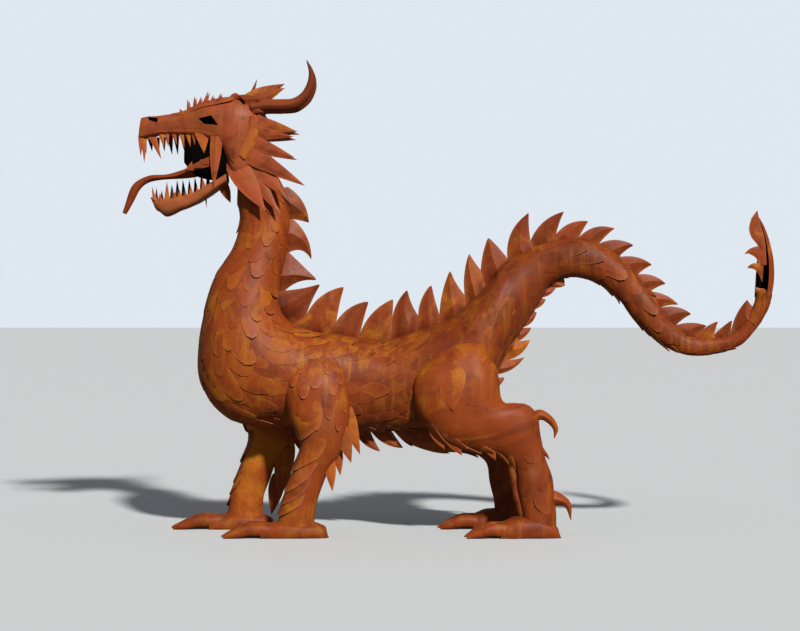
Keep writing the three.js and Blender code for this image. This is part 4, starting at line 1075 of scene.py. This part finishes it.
def prism(outline, middle, low, high):
    """A cutter through the head, from its outline in the side view, as an object."""
    n = len(outline)
    x, z = middle[0] * SHARE, middle[1] * SHARE
    points = [(x + u, y, z + v) for y in (low, high) for u, v in outline]
    faces = [tuple(range(n)), tuple(range(2 * n - 1, n - 1, -1))]
    faces += [(i, (i + 1) % n, n + (i + 1) % n, n + i) for i in range(n)]
    mesh = bpy.data.meshes.new("cutter")
    mesh.from_pydata(points, [], faces)
    shaped = bmesh.new()
    shaped.from_mesh(mesh)
    bmesh.ops.recalc_face_normals(shaped, faces=shaped.faces)
    shaped.to_mesh(mesh)
    shaped.free()
    cutter = bpy.data.objects.new("cutter", mesh)
    bpy.context.scene.collection.objects.link(cutter)
    return cutter


def cut_out(points, faces, cutters):
    """Points and faces of a closed shell with the cutters taken out of it. Cut walls come out marked."""
    mesh = bpy.data.meshes.new("uncut")
    mesh.from_pydata(points.tolist(), [], faces)
    shaped = bmesh.new()
    shaped.from_mesh(mesh)
    bmesh.ops.recalc_face_normals(shaped, faces=shaped.faces)
    shaped.to_mesh(mesh)
    shaped.free()
    mesh.materials.append(dark)
    body = bpy.data.objects.new("uncut", mesh)
    bpy.context.scene.collection.objects.link(body)
    mesh.materials.append(None)
    for cutter in cutters:
        cutter.data.materials.append(dark)
        cutter.data.materials.append(floor_paint)
        cutter.data.polygons.foreach_set("material_index", [1] * len(cutter.data.polygons))
        cut = body.modifiers.new("cut", "BOOLEAN")
        cut.operation = "DIFFERENCE"
        cut.solver = "EXACT"
        cut.object = cutter
    result = body.evaluated_get(bpy.context.evaluated_depsgraph_get()).to_mesh()
    made = np.array([v.co for v in result.vertices], float)
    kept = [tuple(p.vertices) for p in result.polygons]
    walls = [1 if p.material_index else 0 for p in result.polygons]
    for thing in (body, *cutters):
        bpy.data.objects.remove(thing)
    return made, kept, walls


rng = np.random.default_rng(41)
skull = Sheetwork()
t = np.linspace(0, 1, 70)[:, None]
angle = np.linspace(0, 2 * math.pi, 44, endpoint=False)[None, :]
flat = skin(skull_limb, t, angle, SKULL_SQUARENESS)
bent = skin(skull_limb, t, angle, SKULL_SQUARENESS, dents(flat, 0.10, 0.0022, 5))
closed = np.vstack([bent.reshape(-1, 3), bent[0].mean(0), bent[-1].mean(0)])
eye = [(u * EYE_LENGTH, v * EYE_HEIGHT) for u, v in EYE_OUTLINE]
SOCKET = 0.055
cutters = [prism(eye, EYE_MIDDLE, -0.2, -SOCKET), prism(eye, EYE_MIDDLE, SOCKET, 0.2)]
cutters += [prism(NOSTRIL_OUTLINE, NOSTRIL_MIDDLE, low, high) for low, high in ((-0.12, -0.030), (0.030, 0.12))]
points, faces, walls = cut_out(closed, tube_faces(70, 44), cutters)
skull.add(points, faces, 0.3, 0.3)
# The cut walls of the eye and nostril pits take the near-black inner finish: painted shade.
skull.finishes = walls
print("skull after its cuts:", len(faces), "faces,", sum(walls), "of them dark walls")

# %% Sheets, teeth and thorns on the skull
UPPER_LIP = dict(lift=(0.001, 0.006), round_by=0.06, dome=0.004, grid=(8, 30))
BROW = dict(lift=(0.002, 0.014), round_by=0.3, dome=0.006, grid=(9, 20))
CHEEK = dict(lift=(-0.001, 0.005), round_by=0.10, point=3.0, dome=0.003, grid=(17, 16))
for side in (-1, 1):
    for spot, shape in (
        ((0.03, 0.60, 2.25, 0.26), UPPER_LIP), ((0.30, 0.72, 0.62, 0.30), BROW), ((0.655, 0.79, 1.45, 0.70), CHEEK),
    ):
        plate_on(skull, skull_limb, *spot, mirror=side, squareness=SKULL_SQUARENESS, tone=0.3, rim=0.9, **shape)
    for x1, z1, x2, z2 in BROW_THORNS:
        spike(skull, at(x1, z1, side * 1.4), at(x2, z2, side * 1.9), 0.016, tone=0.35)
    roll = []
    for u in np.linspace(0, 1, 9):
        ring_angle = np.linspace(0, 2 * math.pi, 14, endpoint=False)
        tall = SHARE * (0.95 - 0.25 * u)
        ring = np.stack([tall * np.cos(ring_angle), 0.9 * tall * np.sin(ring_angle), np.zeros(14)], -1)
        middle = at(-45.4 + 2.6 * u, 91.0 + 0.9 * math.sin(math.pi * u), side * (2.4 + 1.2 * u))
        turn = np.array([[math.cos(0.9), 0, math.sin(0.9)], [0, 1, 0], [-math.sin(0.9), 0, math.cos(0.9)]])
        roll.append(ring @ turn.T + middle)
    skull.tube(np.array(roll), 0.5)
    leaf(skull, at(-48.5, 83.4, side * 4.2), at(-49.2, 72.6, side * 3.9), np.array([1.0, 0, 0]), 3.1 * SHARE, 0.014,
         root_share=0.75, tone=0.6)
spike(skull, at(-42.0, 90.4, 0.5), at(-40.3, 95.9, 0.9), 0.022, tone=0.2)
teeth(skull, skull_limb, UPPER_TEETH, 0.72, rng)
leaf(skull, at(-51.6, 84.4, -3.3), at(-51.2, 79.9, -3.2), np.array([1.0, 0, 0]), 3.4 * SHARE, 0.008,
     root_share=0.9, belly=0.6, tone=0.9)
# The gullet is a sheet in the near-black inner finish: painted shade at the back of the mouth.
bare_limb(skull, limb_of(GULLET_RIBS), 10, 16, squareness=SKULL_SQUARENESS, finish=1)
skull.piece("head_sheetwork", "head_patina", "skull")

# %% Lower jaw, a trough with teeth on its rim
jaw = Sheetwork()
t = np.linspace(0, 1, 34)[:, None]
around = np.linspace(math.pi * 0.26, 2 * math.pi - math.pi * 0.26, 31)[None, :]
jaw_flat = skin(jaw_limb, t, around, SKULL_SQUARENESS)
jaw_top = skin(jaw_limb, t, around, SKULL_SQUARENESS, dents(jaw_flat, 0.08, 0.002, 8))
jaw_in = skin(jaw_limb, t, around, SKULL_SQUARENESS, -0.006)
jaw.shell(jaw_top, jaw_in, 0.35, np.ones((34, 31)))
teeth(jaw, jaw_limb, LOWER_TEETH, 0.85, rng)
nose = skin(jaw_limb, np.full(31, 0.004), around[0], SKULL_SQUARENESS, -0.001)
chin = np.stack([nose, np.broadcast_to(nose.mean(0), nose.shape)], 1)
jaw.shell(chin, chin + at(0.3, 0), 0.7)
spike(jaw, at(-51.2, 72.4), at(-51.0, 68.3), 0.010, tone=0.2)
jaw.piece("jaw_trough", "head_patina", "lower_jaw")

# %% Tongue and horns
TONGUE_LINE = [[-48.6, 79.4, 1.9], [-51.0, 77.6, 1.7], [-54.0, 76.1, 1.2], [-58.6, 75.2, 0.6], [-62.9, 74.7, 0.7],
               [-65.6, 73.1, 0.9], [-67.0, 70.3, 0.85], [-68.3, 67.4, 0.4]]
TONGUE_WIDTH = 1.5
HORN_LINE = [[-41.4, 89.5, 1.4], [-38.2, 89.9, 1.35], [-35.1, 89.9, 1.3], [-32.3, 90.2, 1.25], [-30.0, 91.8, 1.05],
             [-28.8, 94.2, 0.8], [-28.7, 96.7, 0.5], [-29.6, 99.1, 0.1]]
HORN_SPREAD = (2.7, 5.4)

ribs = ribs_along(TONGUE_LINE, 1.0)
ribs[:, 4] = TONGUE_WIDTH * (1 - 0.5 * np.arange(len(ribs)) / (len(ribs) - 1))
tongue = Sheetwork()
bare_limb(tongue, limb_of(ribs.tolist()), 50, 14, squareness=1.2, tone=0.5, dent=(0.08, 0.0015), seed=6)
for side in (-1, 1):
    leaf(tongue, at(-48.9, 78.6, side * 3.5), at(-57.6, 75.5, side * 1.9), at(1.0, -2.6), 2.3 * SHARE, 0.006,
         root_share=0.9, tone=0.6)
    for x, z in ((-54.4, 76.4), (-52.4, 76.9), (-50.5, 77.6)):
        leaf(tongue, at(x, z, side * 3.3), at(x + 0.7, z + 1.9, side * 3.5), np.array([1.0, 0, 0]), 1.7 * SHARE,
             0.004, root_share=0.95, rows=8, tone=0.6)
tongue.piece("tongue_blade", "tongue_patina", "tongue")

for side, name in ((-1, "horn_left"), (1, "horn_right")):
    ribs = ribs_along(HORN_LINE, 1.0)
    ribs[:, 5] = np.linspace(HORN_SPREAD[0], HORN_SPREAD[1], len(ribs))
    horn = Sheetwork()
    # The tone runs round the horn, lighter along its upper, outer edge and darker along its lower, inner edge: a
    # painted highlight and painted shade.
    around = np.tile(0.5 + 0.45 * np.cos(np.linspace(0, 2 * math.pi, 16, endpoint=False)), 60)
    bare_limb(horn, limb_of(ribs.tolist()), 60, 16, squareness=1.3, side=side, tone=np.append(around, [0.5, 0.5]),
              dent=(0.1, 0.0008), seed=9)
    for x1, z1, x2, z2 in ((-44.6, 90.2, -38.6, 88.4), (-45.0, 88.6, -39.6, 86.6), (-44.4, 91.2, -39.0, 91.2)):
        leaf(horn, at(x1, z1, side * 2.0), at(x2, z2, side * 4.4), at(z1 - z2, x2 - x1), 2.6 * SHARE, 0.010,
             root_share=0.6, tone=0.7)
    horn.piece(f"{name}_curl", "horn_patina", name)

# %% Mane
MANE_COLLAR = [
    [-40.6, 87.6, 0.9],
    [-40.8, 84.6, 1.1],
    [-41.8, 81.6, 1.2],
    [-43.4, 79.2, 1.2],
    [-45.2, 77.4, 1.1],
    [-47.0, 76.4, 0.9],
]
MANE_OFFSET = 4.3
MANE_ROOT = 2.4
LOW_LEAVES = 4  # leaves from this one on hang down beside the cheek, with slimmer roots
MANE_TUCK = [(0.3, 0.6), (0.12, 0.4)]
MANE_PLATES = [
    [-41.2, 86.4, -31.5, 84.3, 3.6, 5.6],
    [-41.6, 84.4, -32.3, 83.2, 3.2, 6.0],
    [-42.4, 82.6, -32.1, 78.9, 3.6, 6.4],
    [-43.4, 80.8, -30.4, 73.4, 4.6, 6.8],
    [-41.8, 79.7, -33.8, 70.4, 3.8, 6.4],
    [-43.4, 79.4, -35.2, 67.1, 3.4, 6.2],
    [-45.2, 78.4, -38.2, 67.8, 5.0, 7.0],
]
rng = np.random.default_rng(51)
for side, name in ((-1, "mane_left"), (1, "mane_right")):
    mane = Sheetwork()
    collar = limb_of(ribs_along(MANE_COLLAR, 0.35, MANE_OFFSET).tolist())
    bare_limb(mane, collar, 24, 12, end=0.6, squareness=1.0, side=side, tone=0.6)
    for k, (x1, z1, x2, z2, width, y) in enumerate(MANE_PLATES):
        tuck, root_share = MANE_TUCK[k >= LOW_LEAVES]
        root = at(x1 - tuck * (x2 - x1), z1 - tuck * (z2 - z1), side * MANE_ROOT)
        leaf(mane, root, at(x2, z2, side * y), at(z1 - z2, x2 - x1), width * SHARE * 1.15, 0.013,
             root_share=root_share, rows=20, tone=float(rng.uniform(0.25, 0.55)))
    mane.piece(f"{name}_leaves", "head_patina", name)

# %% Crown leaf and beard leaf
crown = Sheetwork()
CROWN_PLATES = [[-43.8, 90.6, -34.4, 94.7, 0.0, 3.6, 0.5], [-43.2, 90.0, -34.4, 93.8, -0.4, 3.4, 0.4]]
for x1, z1, x2, z2, y, width, tone in CROWN_PLATES:
    leaf(crown, at(x1, z1, y), at(x2, z2, y), at(z1 - z2, x2 - x1), width * SHARE, 0.014, root_share=0.4, tone=tone)
crown.piece("crown_plume", "plate_patina", "crown_leaf")
beard = Sheetwork()
leaf(beard, at(-48.0, 74.6), at(-45.9, 69.6), at(5.0, 2.1), 2.6 * SHARE, 0.016, root_share=0.4, tone=0.7)
beard.piece("beard_plume", "plate_patina", "beard_leaf")

# %% [markdown]
# ## The end of the tail
# The tail ends as an open channel: a sheet rolled into a trough, lined inside with a near-black sheet as painted
# shade for its dark inside, with its near wall drawn out into a long blade and two hooks.

# %% Tail end
CHANNEL_LINE = [
    [66.3, 49.6, 1.75], [66.7, 53.4, 1.95], [66.8, 57.4, 1.75], [66.5, 61.0, 1.3], [66.0, 64.0, 0.8], [65.3, 66.4, 0.3],
]
CHANNEL_SHEET = (0.05 * math.pi, 1.40 * math.pi)  # the sheet goes round the back and stops on the near side
WALL = -0.9
# Each piece of the near wall: its left or upper edge, its right or lower edge, and its tip.
BLADE = (
    [[65.3, 56.6], [65.4, 59.0], [65.2, 60.5], [63.7, 62.4], [63.2, 64.3], [63.7, 66.4]],
    [[66.9, 56.6], [66.8, 59.0], [66.6, 61.2], [66.2, 63.2], [65.6, 65.2], [65.2, 66.9]],
    (64.95, 68.1),
)
TOP_HOOK = (
    [[66.4, 60.6], [65.0, 60.5], [63.6, 60.1], [62.7, 59.4]],
    [[66.4, 56.9], [65.4, 57.0], [64.5, 58.2], [63.1, 59.0]],
    (62.2, 58.8),
)
LOW_HOOK = (
    [[66.3, 57.2], [65.2, 57.0], [64.0, 56.9], [63.2, 56.4]],
    [[66.0, 52.9], [65.3, 54.6], [64.4, 55.6], [63.3, 55.9]],
    (62.8, 55.9),
)
STRAP = (
    [[64.6, 51.9], [65.4, 51.7], [66.4, 51.6]],
    [[64.6, 50.9], [65.4, 50.5], [66.4, 50.3]],
    (67.2, 50.9),
)
channel_limb = limb_of(ribs_along(CHANNEL_LINE, 0.85).tolist())
tail = Sheetwork()
t = np.linspace(0, 1, 30)[:, None]
around = np.linspace(*CHANNEL_SHEET, 25)[None, :]
tail.shell(skin(channel_limb, t, around, 1.0), skin(channel_limb, t, around, 1.0, -SHEET), 0.5)
# The lining in the near-black inner finish is painted shade for the inside of the trough.
tail.shell(skin(channel_limb, t, around, 1.0, -0.005), skin(channel_limb, t, around, 1.0, -0.007), 0.5, finish=1)
for upper, lower, tip in (BLADE, TOP_HOOK, LOW_HOOK, STRAP):
    edges = [np.insert(rail(line, np.linspace(0, 1, 16)), 1, WALL, axis=1) * SHARE for line in (lower, upper)]
    folded(tail, *edges, np.array([0.0, -1.0, 0.0]), np.linspace(0.008, 0.001, 16), at(tip[0], tip[1], WALL), tone=0.7)
tail.piece("tail_channel", "plate_patina", "tail_end")
